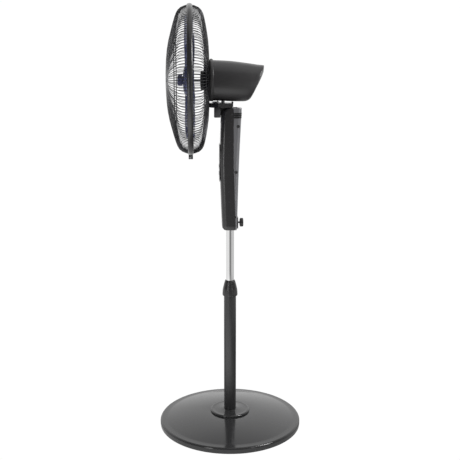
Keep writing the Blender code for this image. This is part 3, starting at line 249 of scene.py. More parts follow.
# Chromed steel wire: bright but dark in its reflections, slightly dull from the plating bath.
CHROME_WIRE = Finish("chromed_wire", "#3a3a3c", "#424244", 0.30, 0.05, 0.6, 0.02, metallic=1.0)
# Metallic-flake grey lacquer on ABS: a soft pearly grey with a clear top coat.
FLAKE_LACQUER = Finish(
    "grey_flake_lacquer", "#7e7e81", "#868689", 0.36, 0.04, 0.5, 0.02, metallic=0.55, coat=0.5
)
# Smoked styrene-acrylonitrile blades: clear blue-grey plastic that darkens where it is thick.
SMOKED_SAN = Finish(
    "smoked_blue_san", "#6a7096", "#757ba0", 0.10, 0.03, 2.5, 0.03, ior=1.57, transmission=0.72
)
# The hub is the same plastic over a steel insert, so it reads as a solid blue-grey.
SOLID_SAN = Finish("solid_blue_san", "#5a5e84", "#60648a", 0.34, 0.04, 2.0, 0.03, ior=1.57)
# Silver lacquered badge with fine turned rings.
TURNED_SILVER = Finish(
    "turned_silver_lacquer", "#c8c8ca", "#d0d0d2", 0.34, 0.04, 0.7, 0.25, Grain.TURNED, metallic=0.75, coat=0.3
)
# Zinc-plated steel: cool grey with cloudy patches.
ZINC_STEEL = Finish("zinc_plated_steel", "#9b9da0", "#b3b4b6", 0.32, 0.08, 0.9, 0.06, metallic=1.0, patch_mm=9.0)
# Black zinc screws.
BLACK_SCREW = Finish("black_zinc_screw", "#2a2a2c", "#38383a", 0.36, 0.06, 0.6, 0.08, metallic=1.0, patch_mm=6.0)
# Sand-cast iron: rough dark grey.
CAST_IRON = Finish("sand_cast_iron", "#3a3a3b", "#4a4948", 0.72, 0.10, 1.4, 0.60, metallic=0.6, patch_mm=20.0)
# Die-cast aluminium: pale, matt, faintly pitted.
DIE_CAST = Finish("die_cast_aluminium", "#a4a6a8", "#b3b4b6", 0.45, 0.08, 0.8, 0.15, metallic=1.0, patch_mm=18.0)
# Stacked electrical steel of the stator.
LAMINATION = Finish("stator_laminations", "#6d6f73", "#7f8084", 0.42, 0.08, 0.5, 0.30, metallic=1.0, patch_mm=15.0)
# Enamelled copper windings: warm, glossy, ridged by the wire.
ENAMEL_COPPER = Finish("enamelled_copper", "#a5532a", "#b96a38", 0.30, 0.06, 0.9, 0.60, metallic=0.9, patch_mm=10.0)
# Sintered bronze bushes, oily and dull.
SINTERED = Finish("sintered_bronze", "#8a6a3c", "#9a7b4c", 0.48, 0.08, 0.5, 0.25, metallic=1.0, patch_mm=8.0)
# Soft grip bands: matt black, so they read as dark lines on the grey cover.
GRIP_BLACK = Finish("matt_black_grip", "#0d0d0d", "#121212", 0.60, 0.05, 0.6, 0.02, ior=1.40, patch_mm=10.0)
# Natural rubber: dull black with a floury bloom.
RUBBER = Finish("black_rubber", "#161616", "#242424", 0.78, 0.08, 0.7, 0.30, ior=1.52, patch_mm=12.0)
# Printed circuit board under solder mask.
SOLDER_MASK = Finish("green_solder_mask", "#0f4a26", "#14592f", 0.38, 0.06, 1.2, 0.10, patch_mm=14.0)
# Smoked acrylic window: black and almost mirror-smooth.
SMOKED_ACRYLIC = Finish("smoked_acrylic", "#070708", "#0c0c0d", 0.06, 0.02, 4.0, 0.01, ior=1.49)
# Soft-touch grey keys.
KEY_PLASTIC = Finish("grey_key_plastic", "#8b8b8d", "#959597", 0.44, 0.05, 0.5, 0.10, patch_mm=9.0)
# White print on the panel.
PRINT_WHITE = Finish("white_pad_print", "#d9d9d6", "#cfcfcc", 0.50, 0.05, 0.5, 0.05)


# ---------------------------------------------------------------- mesh tools
def to_object(name: str, shape: bmesh.types.BMesh, finish: Finish, sharp: float = 38.0) -> bpy.types.Object:
    """Turn a bmesh in world coordinates into a finished object at the origin.

    Args:
        name: name of the piece.
        shape: its mesh, which is freed.
        finish: its surface.
        sharp: edge angle in degrees from which the shading breaks.

    Returns:
        The linked object.
    """
    mesh = bpy.data.meshes.new(name)
    shape.to_mesh(mesh)
    shape.free()
    mesh.shade_smooth()
    mesh.set_sharp_from_angle(angle=math.radians(sharp))
    mesh.materials.append(finish.material())
    made = bpy.data.objects.new(name, mesh)
    bpy.context.scene.collection.objects.link(made)
    return made


def place_axis(axis: str) -> Matrix:
    """Rotation that carries +Z onto the named axis."""
    turns = {"X": ("Y", 90.0), "Y": ("X", -90.0), "Z": ("Z", 0.0)}
    about, degrees = turns[axis]
    return Matrix.Rotation(math.radians(degrees), 4, about)


def fillet(points: Profile, radius: float, steps: int = 4) -> Profile:
    """Round the inner corners of an open line of points.

    Args:
        points: corners of the line; the first and the last stay.
        radius: largest rounding; short sides get less.
        steps: arc steps at each corner.

    Returns:
        The rounded line.
    """
    rounded: Profile = [points[0]]
    for before, corner, after in zip(points, points[1:], points[2:]):
        here = Vector(corner)
        back, ahead = Vector(before) - here, Vector(after) - here
        reach = min(radius, 0.45 * back.length, 0.45 * ahead.length)
        start, end = here + back.normalized() * reach, here + ahead.normalized() * reach
        for step in range(steps + 1):
            share = step / steps
            spot = start.lerp(here, share).lerp(here.lerp(end, share), share)
            rounded.append((spot.x, spot.y))
    rounded.append(points[-1])
    return rounded


def turned(
    name: str,
    profile: Profile,
    finish: Finish,
    at: Vector | Point = (0.0, 0.0, 0.0),
    axis: str = "Z",
    steps: int = 96,
    flutes: int = 0,
    flute_depth: float = 0.0,
    flute_span: tuple[float, float] = (0.0, 0.0),
) -> bpy.types.Object:
    """Turn a closed (radius, height) profile about an axis, with optional flutes.

    Args:
        name: name of the piece.
        profile: points round the section; both ends at radius 0 close on the axis.
        finish: its surface.
        at: point on the axis at height 0.
        axis: X, Y or Z.
        steps: facets round the axis.
        flutes: number of flutes cut into the outer side.
        flute_depth: depth of a flute.
        flute_span: heights between which the flutes are full.

    Returns:
        The turned piece.
    """
    shape = bmesh.new()
    outer_radius = max(radius for radius, _ in profile)
    rings = []
    for radius, height in profile:
        if radius <= 0.0:
            rings.append([shape.verts.new((0.0, 0.0, height))])
            continue
        ring = []
        for step in range(steps):
            angle = 2.0 * math.pi * step / steps
            cut = 0.0
            if flutes and flute_span[0] <= height <= flute_span[1] and radius > 0.80 * outer_radius:
                cut = flute_depth * (0.5 - 0.5 * math.cos(flutes * angle)) ** 2
            reach = radius - cut
            ring.append(shape.verts.new((reach * math.cos(angle), reach * math.sin(angle), height)))
        rings.append(ring)
    pairs = list(zip(rings, rings[1:]))
    if len(rings[0]) > 1:
        pairs.append((rings[-1], rings[0]))
    for first, second in pairs:
        bridge(shape, first, second, steps)
    bmesh.ops.recalc_face_normals(shape, faces=shape.faces)
    shape.transform(Matrix.Translation(Vector(at)) @ place_axis(axis))
    return to_object(name, shape, finish)


def bridge(shape: bmesh.types.BMesh, first: list, second: list, steps: int) -> None:
    """Join two rings of vertices, either of which may be one point."""
    if len(first) == 1 and len(second) == 1:
        return
    for step in range(steps):
        after = (step + 1) % steps
        if len(first) == 1:
            shape.faces.new((first[0], second[after], second[step]))
        elif len(second) == 1:
            shape.faces.new((first[step], first[after], second[0]))
        else:
            shape.faces.new((first[step], first[after], second[after], second[step]))


def loft(name: str, rings: list[list[Vector]], finish: Finish, sharp: float = 38.0) -> bpy.types.Object:
    """Join equal rings of world points into a closed solid with flat ends.

    Args:
        name: object name.
        rings: equal rings of world points, from one end to the other.
        finish: its finish.
        sharp: angle in degrees past which an edge stays sharp.

    Returns:
        The lofted object.
    """
    shape = bmesh.new()
    rows = [[shape.verts.new(point) for point in ring] for ring in rings]
    for first, second in zip(rows, rows[1:]):
        bridge(shape, first, second, len(first))
    shape.faces.new(rows[0])
    shape.faces.new(rows[-1])
    bmesh.ops.recalc_face_normals(shape, faces=shape.faces)
    return to_object(name, shape, finish, sharp)


def box(name: str, corner: Vector, opposite: Vector, finish: Finish, bevel: float = 0.0) -> bpy.types.Object:
    """A box between two world corners, with rounded edges.

    Args:
        name: object name.
        corner: lowest corner.
        opposite: highest corner.
        finish: its finish.
        bevel: width of the edges' rounding.

    Returns:
        The block.
    """
    shape = bmesh.new()
    bmesh.ops.create_cube(shape, size=1.0)
    size = opposite - corner
    centre = (opposite + corner) / 2.0
    shape.transform(Matrix.Translation(centre) @ Matrix.Diagonal((*size, 1.0)))
    if bevel:
        bmesh.ops.bevel(shape, geom=shape.edges[:], offset=bevel, segments=3, affect="EDGES", profile=0.6)
    return to_object(name, shape, finish)


def flatten(piece: bpy.types.Object) -> bpy.types.Object:
    """Apply a piece's modifiers by replacing its mesh with the evaluated one."""
    graph = bpy.context.evaluated_depsgraph_get()
    mesh = bpy.data.meshes.new_from_object(piece.evaluated_get(graph))
    piece.modifiers.clear()
    piece.data = mesh
    return piece


def carve(target: bpy.types.Object, tools: list[bpy.types.Object], operation: str = "DIFFERENCE") -> None:
    """Cut tools out of a piece, or add them, and remove the tools.

    Args:
        target: piece that is changed.
        tools: closed shapes, which are deleted afterwards.
        operation: DIFFERENCE or UNION.
    """
    for tool in tools:
        change = target.modifiers.new(tool.name, "BOOLEAN")
        change.operation = operation
        change.solver = "EXACT"
        change.object = tool
    bpy.context.view_layer.update()
    flatten(target)
    for tool in tools:
        bpy.data.objects.remove(tool)
    target.data.shade_smooth()
    target.data.set_sharp_from_angle(angle=math.radians(38.0))


def soften(piece: bpy.types.Object, width: float, segments: int = 2) -> bpy.types.Object:
    """Round every hard edge of a piece by a width.

    Args:
        piece: object whose edges are rounded.
        width: width of the edges' rounding.
        segments: steps across a rounded edge.
    """
    rounding = piece.modifiers.new("rounding", "BEVEL")
    rounding.width = width
    rounding.segments = segments
    rounding.limit_method = "ANGLE"
    rounding.angle_limit = math.radians(40.0)
    rounding.use_clamp_overlap = True
    return flatten(piece)


def softened_copy(node: str, name: str, finish: Finish, width: float) -> bpy.types.Object:
    """Copy a CAD node with its corners merged and its hard edges rounded.

    Args:
        node: name of the CAD node.
        name: object name.
        finish: its finish.
        width: width of the edges' rounding.

    Returns:
        The softened copy.
    """
    shape = bmesh.new()
    shape.from_mesh(frame["nodes"][node].data)
    bmesh.ops.remove_doubles(shape, verts=shape.verts, dist=0.01 * MM)
    bmesh.ops.dissolve_limit(
        shape, angle_limit=math.radians(1.0), verts=shape.verts, edges=shape.edges, use_dissolve_boundaries=False
    )
    piece = to_object(name, shape, finish)
    return soften(piece, width)


def stands_for(piece: bpy.types.Object, body: str, *nodes: str) -> None:
    """Let a piece ride on a body, in place of its CAD nodes."""
    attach(piece, body)
    if nodes:
        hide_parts(*nodes)
    LOG.info("%s rides on %s", piece.name, body)


def dress(finish: Finish, *nodes: str) -> None:
    """Give CAD nodes a surface."""
    for node in nodes:
        slots = frame["nodes"][node].material_slots
        for slot in slots:
            slot.material = finish.material()
        LOG.info("%s is %s", node, finish.name)


# ---------------------------------------------------------------- repeats by Geometry Nodes
def repeat_tree(sweep: bool) -> tuple[bpy.types.NodeTree, dict[str, str]]:
    """Build a tree that repeats a shape round an axis along X.

    Args:
        sweep: True when the shape is a bent line that becomes a round wire.

    Returns:
        The tree, and each input's name with its identifier.
    """
    tree = bpy.data.node_groups.new("wires_round_axis" if sweep else "repeat_round_axis", "GeometryNodeTree")
    face = tree.interface
    face.new_socket("Shape", in_out="INPUT", socket_type="NodeSocketGeometry")
    kinds = {
        "Count": "NodeSocketInt",
        "Centre": "NodeSocketVector",
        "Wire Radius": "NodeSocketFloat",
        "Material": "NodeSocketMaterial",
    }
    names = {key: face.new_socket(key, in_out="INPUT", socket_type=kind).identifier for key, kind in kinds.items()}
    face.new_socket("Shape", in_out="OUTPUT", socket_type="NodeSocketGeometry")
    given = tree.nodes.new("NodeGroupInput").outputs
    shape = given["Shape"]
    if sweep:
        line = add_node(tree, "GeometryNodeMeshToCurve", i0=shape).outputs[0]
        circle = add_node(tree, "GeometryNodeCurvePrimitiveCircle", Resolution=6, Radius=given["Wire Radius"])
        shape = add_node(tree, "GeometryNodeCurveToMesh", i0=line, i1=circle.outputs[0]).outputs[0]
        tree.nodes[-1].inputs["Fill Caps"].default_value = True
    index = add_node(tree, "GeometryNodeInputIndex").outputs[0]
    share = add_node(tree, "ShaderNodeMath", {"operation": "DIVIDE"}, i0=index, i1=given["Count"]).outputs[0]
    angle = add_node(tree, "ShaderNodeMath", {"operation": "MULTIPLY"}, i0=share, i1=2.0 * math.pi).outputs[0]
    euler = add_node(tree, "ShaderNodeCombineXYZ", X=angle).outputs[0]
    turn = add_node(tree, "FunctionNodeEulerToRotation", i0=euler).outputs[0]
    points = add_node(tree, "GeometryNodePoints", Count=given["Count"], Position=given["Centre"]).outputs[0]
    copies = add_node(tree, "GeometryNodeInstanceOnPoints", Points=points, Instance=shape, Rotation=turn)
    real = add_node(tree, "GeometryNodeRealizeInstances", i0=copies.outputs[0]).outputs[0]
    dressed = add_node(tree, "GeometryNodeSetMaterial", Geometry=real, Material=given["Material"]).outputs[0]
    smooth = add_node(tree, "GeometryNodeSetShadeSmooth", i0=dressed).outputs[0]
    add_node(tree, "NodeGroupOutput", i0=smooth)
    return tree, names


def repeated(
    name: str, element: bpy.types.Object, count: int, finish: Finish, wire_radius: float = 0.0
) -> bpy.types.Object:
    """Repeat an element round the motor's axis as one plain mesh.

    Args:
        name: name of the piece.
        element: one element, drawn about the origin, or a bent line for wires.
        count: how many there are round the axis.
        finish: their surface.
        wire_radius: radius of a wire; 0 repeats the element as it is.

    Returns:
        The finished piece; the element is removed.
    """
    tree, names = repeat_tree(wire_radius > 0.0)
    change = element.modifiers.new("repeat", "NODES")
    change.node_group = tree
    change[names["Count"]] = count
    change[names["Centre"]] = tuple(AXLE)
    change[names["Wire Radius"]] = wire_radius
    change[names["Material"]] = finish.material()
    graph = bpy.context.evaluated_depsgraph_get()
    mesh = bpy.data.meshes.new_from_object(element.evaluated_get(graph))
    element.modifiers.clear()
    bpy.data.objects.remove(element)
    made = bpy.data.objects.new(name, mesh)
    bpy.context.scene.collection.objects.link(made)
    return made


def bent_line(name: str, points: Profile) -> bpy.types.Object:
    """A bent line of (radius, x) points in the XZ plane, about the origin.

    Args:
        name: object name.
        points: the line's points.

    Returns:
        The line's object.
    """
    mesh = bpy.data.meshes.new(name)
    spots = [(ahead, 0.0, radius) for radius, ahead in points]
    mesh.from_pydata(spots, [(index, index + 1) for index in range(len(spots) - 1)], [])
    made = bpy.data.objects.new(name, mesh)
    bpy.context.scene.collection.objects.link(made)
    return made


def merge(name: str, pieces: list[bpy.types.Object]) -> bpy.types.Object:
    """Join separate solids of one finish into one object.

    Args:
        name: name of the whole.
        pieces: objects that become one mesh.

    Returns:
        The joined object.
    """
    shape = bmesh.new()
    for piece in pieces:
        shape.from_mesh(piece.data)
    finish = pieces[0].data.materials[0]
    for piece in pieces:
        bpy.data.objects.remove(piece)
    mesh = bpy.data.meshes.new(name)
    shape.to_mesh(mesh)
    shape.free()
    mesh.materials.append(finish)
    for polygon in mesh.polygons:
        polygon.material_index = 0
    made = bpy.data.objects.new(name, mesh)
    bpy.context.scene.collection.objects.link(made)
    return made


def screw_head(name: str, at: Vector, axis: str, radius: float, finish: Finish) -> bpy.types.Object:
    """A pan head with a cross recess, its top towards +axis from the point at.

    Args:
        name: object name.
        at: its place.
        axis: letter of the axis it is turned about.
        radius: radius of the head.
        finish: its finish.

    Returns:
        The head.
    """
    tall = 0.55 * radius
    profile = [(0.0, 0.0), (radius, 0.0), (radius, 0.35 * tall), (0.80 * radius, 0.85 * tall), (0.0, tall)]
    head = turned(name, fillet(profile, 0.3 * radius), finish, steps=32)
    slots = []
    for turn in (0.0, 90.0):
        slot = box(f"{name}_slot", Vector((-0.62, -0.13, 0.55)) * radius, Vector((0.62, 0.13, 2.0)) * radius, finish)
        slot.data.transform(Matrix.Rotation(math.radians(turn + 20.0), 4, "Z"))
        slots.append(slot)
    for slot in slots:
        slot.data.transform(Matrix.Translation((0.0, 0.0, -0.25 * radius)))
    carve(head, slots)
    head.data.transform(Matrix.Translation(at) @ place_axis(axis))
    return head


def smooth_stations(stations: list[tuple[float, ...]], steps: int) -> list[list[float]]:
    """Curve smoothly through stations whose first value rises.

    Args:
        stations: rows of numbers; the first is the place along the curve.
        steps: rows made between two stations.

    Returns:
        The finer rows, ends included.
    """
    slopes = []
    for index, here in enumerate(stations):
        before, after = stations[max(index - 1, 0)], stations[min(index + 1, len(stations) - 1)]
        span = after[0] - before[0]
        slopes.append([(b - a) / span for a, b in zip(before, after)])
    rows = []
    for index, (here, after) in enumerate(zip(stations, stations[1:])):
        span = after[0] - here[0]
        for step in range(steps):
            t = step / steps
            keep, drift = 2 * t**3 - 3 * t**2 + 1, t**3 - 2 * t**2 + t
            take, pull = 3 * t**2 - 2 * t**3, t**3 - t**2
            rows.append(
                [
                    keep * a + drift * span * m + take * b + pull * span * n
                    for a, b, m, n in zip(here, after, slopes[index], slopes[index + 1])
                ]
            )
    rows.append(list(stations[-1]))
    return rows


# ---------------------------------------------------------------- stand
@dataclass
class Stand:
    """Weighted round base, escutcheon, feet and outer pole.

    Attributes:
        rim_height: height of the base's vertical edge.
        rim_round: rounding between edge and dome.
        dome_inset: width of the flat shoulder outside the dome.
        wall: thickness of the moulded cover.
        pole_wall: thickness of the pole.
    """

    rim_height: float = 22.0 * MM
    rim_round: float = 7.0 * MM
    dome_inset: float = 20.0 * MM
    wall: float = 2.5 * MM
    pole_wall: float = 1.5 * MM

    def base(self) -> bpy.types.Object:
        """Mould the dished base cover with its rolled rim.

        Returns:
            The finished piece.
        """
        skirt, top, radius = low("base_cover").z, high("base_cover").z, high("base_cover").x
        plate = high("pole_escutcheon").x
        hole = high("outer_pole").x + 0.3 * MM
        outer = [(radius - 2.0 * MM, skirt), (radius - 0.4 * MM, skirt + 1.2 * MM), (radius, skirt + 4.0 * MM)]
        for step in range(13):
            angle = math.radians(7.5 * step)
            outer.append(
                (
                    radius - self.rim_round * (1.0 - math.cos(angle)),
                    self.rim_height - self.rim_round * (1.0 - math.sin(angle)),
                )
            )
        edge = radius - self.dome_inset
        for step in range(33):
            share = step / 32.0
            rise = (top - self.rim_height) * (1.0 - (1.0 - share) ** 1.6)
            outer.append((edge + share * (plate - edge), self.rim_height + rise))
        outer.append((hole, top))
        inner = [
            (hole, top - self.wall),
            (plate, top - self.wall),
            (edge, self.rim_height - self.wall),
            (radius - 4.0 * MM - self.wall, self.rim_height - 2.0 * self.wall),
            (radius - 2.0 * MM - self.wall, skirt),
        ]
        return turned("base_shell", outer + inner, BASE_ABS, steps=256)

    def escutcheon(self) -> bpy.types.Object:
        """Turn the stepped disc round the pole's foot.

        Returns:
            The finished piece.
        """
        floor, top, radius = low("pole_escutcheon").z, high("pole_escutcheon").z, high("pole_escutcheon").x
        bore = high("outer_pole").x + 0.3 * MM
        profile = [(bore, floor), (radius - 1.0 * MM, floor), (radius, floor + 1.0 * MM), (radius, top - 5.5 * MM)]
        for step in range(1, 11):
            angle = math.radians(9.0 * step)
            inset = 5.0 * MM * (1.0 - math.cos(angle))
            profile.append((radius - inset, top - 1.5 * MM - 4.0 * MM * (1.0 - math.sin(angle))))
        profile += [
            (radius - 9.0 * MM, top - 2.2 * MM),
            (radius - 14.0 * MM, top - 2.0 * MM),
            (bore + 9.0 * MM, top - 1.2 * MM),
            (bore + 5.0 * MM, top - 0.3 * MM),
            (bore + 3.5 * MM, top),
            (bore, top),
        ]
        return turned("pole_foot_disc", profile, BASE_ABS, steps=160)

    def pole(self) -> bpy.types.Object:
        """Draw the outer pole with its rolled upper edge.

        Returns:
            The finished piece.
        """
        floor, top, radius = low("outer_pole").z, high("outer_pole").z, high("outer_pole").x
        bore = radius - self.pole_wall
        profile = [(bore, floor), (radius, floor), (radius, top), (bore, top)]
        profile = fillet(profile + [profile[0]], 0.6 * MM)[:-1]
        return turned("pole_tube", profile, POWDER_COAT, steps=128)

    def foot(self, node: str) -> bpy.types.Object:
        """Mould one rubber foot with a dished underside.

        Args:
            node: name of the foot in the frame.

        Returns:
            The turned foot.
        """
        centre, top, radius = middle(node), high(node).z, high(node).x - middle(node).x
        profile = [(0.0, 0.6 * MM), (0.7 * radius, 0.6 * MM), (0.8 * radius, 0.0), (0.93 * radius, 0.0)]
        profile += [(radius, 1.2 * MM), (0.95 * radius, top), (0.0, top)]
        return turned(f"rubber_{node}", fillet(profile, 0.8 * MM), RUBBER, (centre.x, centre.y, 0.0), steps=48)

    def build(self) -> None:
        """Build and dress the stand."""
        for piece, node, slot in (
            (self.base(), "base_cover", "base_grey"),
            (self.escutcheon(), "pole_escutcheon", "base_grey"),
            (self.pole(), "outer_pole", "pole_black"),
        ):
            stands_for(piece, "stand", node)
        for number in range(1, 5):
            piece = self.foot(f"foot_{number}")
            stands_for(piece, "stand", f"foot_{number}")
        dress(CAST_IRON, "base_ballast")
        dress(ZINC_STEEL, "pole_socket", "pole_bolt")
        dress(GLOSS_ABS, "pole_liner")


# ---------------------------------------------------------------- height lock and tube
@dataclass
class HeightLock:
    """Bell-shaped collar with a fluted grip, and the chromed tube that it holds.

    Attributes:
        flutes: number of grip flutes round the collar.
        flute_depth: depth of a flute.
        tube_wall: thickness of the chromed tube.
    """

    flutes: int = 18
    flute_depth: float = 0.4 * MM
    tube_wall: float = 1.2 * MM

    def collar(self) -> bpy.types.Object:
        """Turn the bell with its fluted skirt.

        Returns:
            The finished piece.
        """
        floor, top, radius = low("lock_collar").z, high("lock_collar").z, high("lock_collar").x
        tube = high("inner_tube").x
        pole = high("outer_pole").x
        lip = tube + 2.2 * MM
        tall = top - floor
        bell = [
            (0.0, radius - 0.7 * MM),
            (0.03, radius - 0.1 * MM),
            (0.07, radius),
            (0.22, radius - 0.2 * MM),
            (0.40, radius - 1.0 * MM),
            (0.60, radius - 3.0 * MM),
            (0.80, lip + 3.4 * MM),
            (0.95, lip + 1.2 * MM),
            (1.0, lip),
        ]
        outer = [(row[1], floor + row[0] * tall) for row in smooth_stations(bell, 6)]
        inner = [
            (tube + 0.7 * MM, top),
            (tube + 0.7 * MM, high("pole_liner").z + 0.8 * MM),
            (tube + 2.5 * MM, high("pole_liner").z + 0.8 * MM),
            (pole - 0.6 * MM, high("outer_pole").z + 4.5 * MM),
            (pole + 0.7 * MM, high("outer_pole").z + 3.0 * MM),
            (pole + 0.7 * MM, floor),
        ]
        span = (floor + 0.02 * tall, floor + 0.40 * tall)
        return turned(
            "bell_collar", outer + inner, GLOSS_ABS, steps=288, flutes=self.flutes,
            flute_depth=self.flute_depth, flute_span=span,
        )

    def tube(self) -> bpy.types.Object:
        """Draw the chromed tube.

        Returns:
            The finished piece.
        """
        floor, top, radius = low("inner_tube").z, high("inner_tube").z, high("inner_tube").x
        bore = radius - self.tube_wall
        profile = [(bore, floor), (radius, floor), (radius, top), (bore, top)]
        profile = fillet(profile + [profile[0]], 0.5 * MM)[:-1]
        return turned("chromed_tube", profile, CHROME_TUBE, steps=128)

    def build(self) -> None:
        """Build and dress the collar and the tube."""
        collar = self.collar()
        stands_for(collar, "collar", "lock_collar")
        tube = self.tube()
        stands_for(tube, "column", "inner_tube")
        dress(GLOSS_ABS, "tube_guide")


# ---------------------------------------------------------------- control box
@dataclass
class ControlBox:
    """Two-part case on the tube with its screws, clamp, panel and keys.

    Attributes:
        stations: height above the case's floor, front face, rear face and half width.
        shoulder: height above the floor where the front starts to round over.
        shoulder_front: front face at the shoulder.
        shoulder_depth: how far the rounding reaches back.
        top_rear: rear face at the top.
        top_half: half width at the top.
        seams: height above the floor and place of the seam between the covers.
        wall: thickness of the mouldings.
        corner: rounding of the front cover's upright corners.
        rear_corner: the same on the rear cover.
        seam: width of the groove between the covers.
        yoke_slot_half: half width of the slot for the tilt yoke.
    """

    stations: tuple[tuple[float, float, float, float], ...] = (
        (0.0 * MM, -20.3 * MM, 20.0 * MM, 27.0 * MM),
        (7.0 * MM, -24.4 * MM, 20.3 * MM, 28.6 * MM),
        (89.0 * MM, -27.7 * MM, 22.6 * MM, 31.5 * MM),
        (212.0 * MM, -30.9 * MM, 26.3 * MM, 35.5 * MM),
        (332.0 * MM, -27.4 * MM, 32.0 * MM, 36.5 * MM),
    )
    shoulder: float = 352.5 * MM
    shoulder_front: float = -26.2 * MM
    shoulder_depth: float = 24.0 * MM
    top_rear: float = 34.0 * MM
    top_half: float = 35.5 * MM
    seams: tuple[tuple[float, float], ...] = (
        (15.0 * MM, 15.0 * MM),
        (89.0 * MM, 12.8 * MM),
        (212.0 * MM, 9.0 * MM),
    )
    wall: float = 2.2 * MM
    corner: float = 15.0 * MM
    rear_corner: float = 10.0 * MM
    seam: float = 0.5 * MM
    yoke_slot_half: float = 21.8 * MM

    def rows(self) -> list[list[float]]:
        """Fine stations of the case from its floor to its top, in world heights.

        Returns:
            The stations, from the floor up.
        """
        floor, top = low("control_front_cover").z, high("control_front_cover").z
        last = self.stations[-1]
        tall = top - floor - self.shoulder
        share = (self.shoulder - last[0]) / (top - floor - last[0])
        rear = last[2] + share * (self.top_rear - last[2])
        half = last[3] + share * (self.top_half - last[3])
        stations = [*self.stations, (self.shoulder, self.shoulder_front, rear, half)]
        stations = [[floor + rise, *rest] for rise, *rest in stations]
        rows = [stations[0], *smooth_stations(stations[1:], 10)]
        for step in range(1, 17):
            turn = math.radians(90.0 * step / 16.0)
            rise = 1.0 - math.cos(turn)
            share = (self.shoulder + tall * math.sin(turn) - last[0]) / (top - floor - last[0])
            back = self.top_rear - 1.6 * MM * max(rise - 0.5, 0.0)
            rows.append(
                [
                    floor + self.shoulder + tall * math.sin(turn),
                    self.shoulder_front + self.shoulder_depth * rise,
                    last[2] + share * (back - last[2]),
                    last[3] + share * (self.top_half - last[3]) - 1.2 * MM * max(rise - 0.5, 0.0),
                ]
            )
        return rows

    def at(self, height: float) -> list[float]:
        """Front face, rear face and half width at a world height."""
        rows = self.rows()
        for below, above in zip(rows, rows[1:]):
            if below[0] <= height <= above[0]:
                share = (height - below[0]) / (above[0] - below[0])
                return [a + share * (b - a) for a, b in zip(below[1:], above[1:])]
        return rows[-1][1:]

    def split(self, height: float) -> float:
        """Plane of the seam between the covers at a world height."""
        rise = height - low("control_front_cover").z
        place = self.seams[0][1]
        for (z0, x0), (z1, x1) in zip(self.seams, self.seams[1:]):
            if rise > z0:
                place = x0 + (x1 - x0) * min((rise - z0) / (z1 - z0), 1.0)
        return place

    def ring(self, height: float, inset: float, front_side: bool, reach: float) -> list[Vector]:
        """Outline of one cover at a height, drawn in by inset.

        Args:
            height: world height.
            inset: distance the outline is drawn in.
            front_side: whether the loop belongs to the front cover.
            reach: how far the loop runs past the seam.

        Returns:
            The loop's points.
        """
        front, rear, half = self.at(height)
        split = self.split(height)
        corner = max(self.corner - inset, 2.0 * MM)
        if front_side:
            back = split + reach - self.seam / 2.0
            edges = (front + inset, back, min(corner, back - front - inset - 1.0 * MM), 0.6 * MM)
        else:
            corner = min(max(self.rear_corner - inset, 2.0 * MM), rear - inset - split + reach - 1.0 * MM)
            edges = (split - reach + self.seam / 2.0, rear - inset, 0.6 * MM, corner)
        face, back, round_face, round_back = edges
        points = []
        for x, side, start, radius in (
            (face, -1.0, 180.0, round_face),
            (back, -1.0, 270.0, round_back),
            (back, 1.0, 0.0, round_back),
            (face, 1.0, 90.0, round_face),
        ):
            centre_x = x + radius if x == face else x - radius
            centre_y = side * (half - inset - radius)
            for step in range(10):
                angle = math.radians(start + 10.0 * step)
                points.append(
                    Vector((centre_x + radius * math.cos(angle), centre_y + radius * math.sin(angle), height))
                )
        return points

    def cover(self, name: str, front_side: bool, finish: Finish) -> bpy.types.Object:
        """Mould one hollow cover.

        Args:
            name: object name.
            front_side: whether it is the front cover.
            finish: its finish.

        Returns:
            The cover's shell.
        """
        floor, top = low("control_front_cover").z, high("control_front_cover").z
        heights = [row[0] for row in self.rows()]
        rim = self.ring(floor, 1.2 * MM, front_side, 0.0)
        outside = [rim] + [self.ring(max(h, floor + 1.0 * MM), 0.0, front_side, 0.0) for h in heights if h != floor]
        piece = loft(name, outside, finish)
        inner = [h for h in heights if floor + self.wall < h < top - self.wall - 1.0 * MM]
        hollow = [
            self.ring(h, self.wall, front_side, 4.0 * MM) for h in (floor + self.wall, *inner, top - self.wall)
        ]
        carve(piece, [loft("hollow", hollow, finish)])
        return piece

    def front_cover(self) -> bpy.types.Object:
        """Black cover with its neck slot, tube hole and key holes.

        Returns:
            The finished piece.
        """
        piece = self.cover("case_front", True, GLOSS_ABS)
        top = high("control_front_cover").z
        half = self.yoke_slot_half
        slot = box(
            "slot",
            Vector((-40.0 * MM, -half, low("tilt_yoke").z + 26.0 * MM)),
            Vector((TILT.x + 19.0 * MM, half, top + 10.0 * MM)),
            GLOSS_ABS,
        )
        foot = Vector((0.0, 0.0, low("control_front_cover").z))
        tube = self.bar("tube", high("inner_tube").x + 0.3 * MM, foot, "Z", 6.0 * MM)
        tools = [slot, tube]
        for key in Panel.keys():
            centre = middle(key)
            tools.append(self.bar("hole", high(key).y - centre.y + 0.4 * MM, centre, "X", 6.0 * MM))
        carve(piece, tools)
        return piece

    def bar(self, name: str, radius: float, at: Vector, axis: str, reach: float) -> bpy.types.Object:
        """A round cutter centred on a point."""
        profile = [(0.0, -reach), (radius, -reach), (radius, reach), (0.0, reach)]
        return turned(name, profile, GLOSS_ABS, at, axis, steps=40)

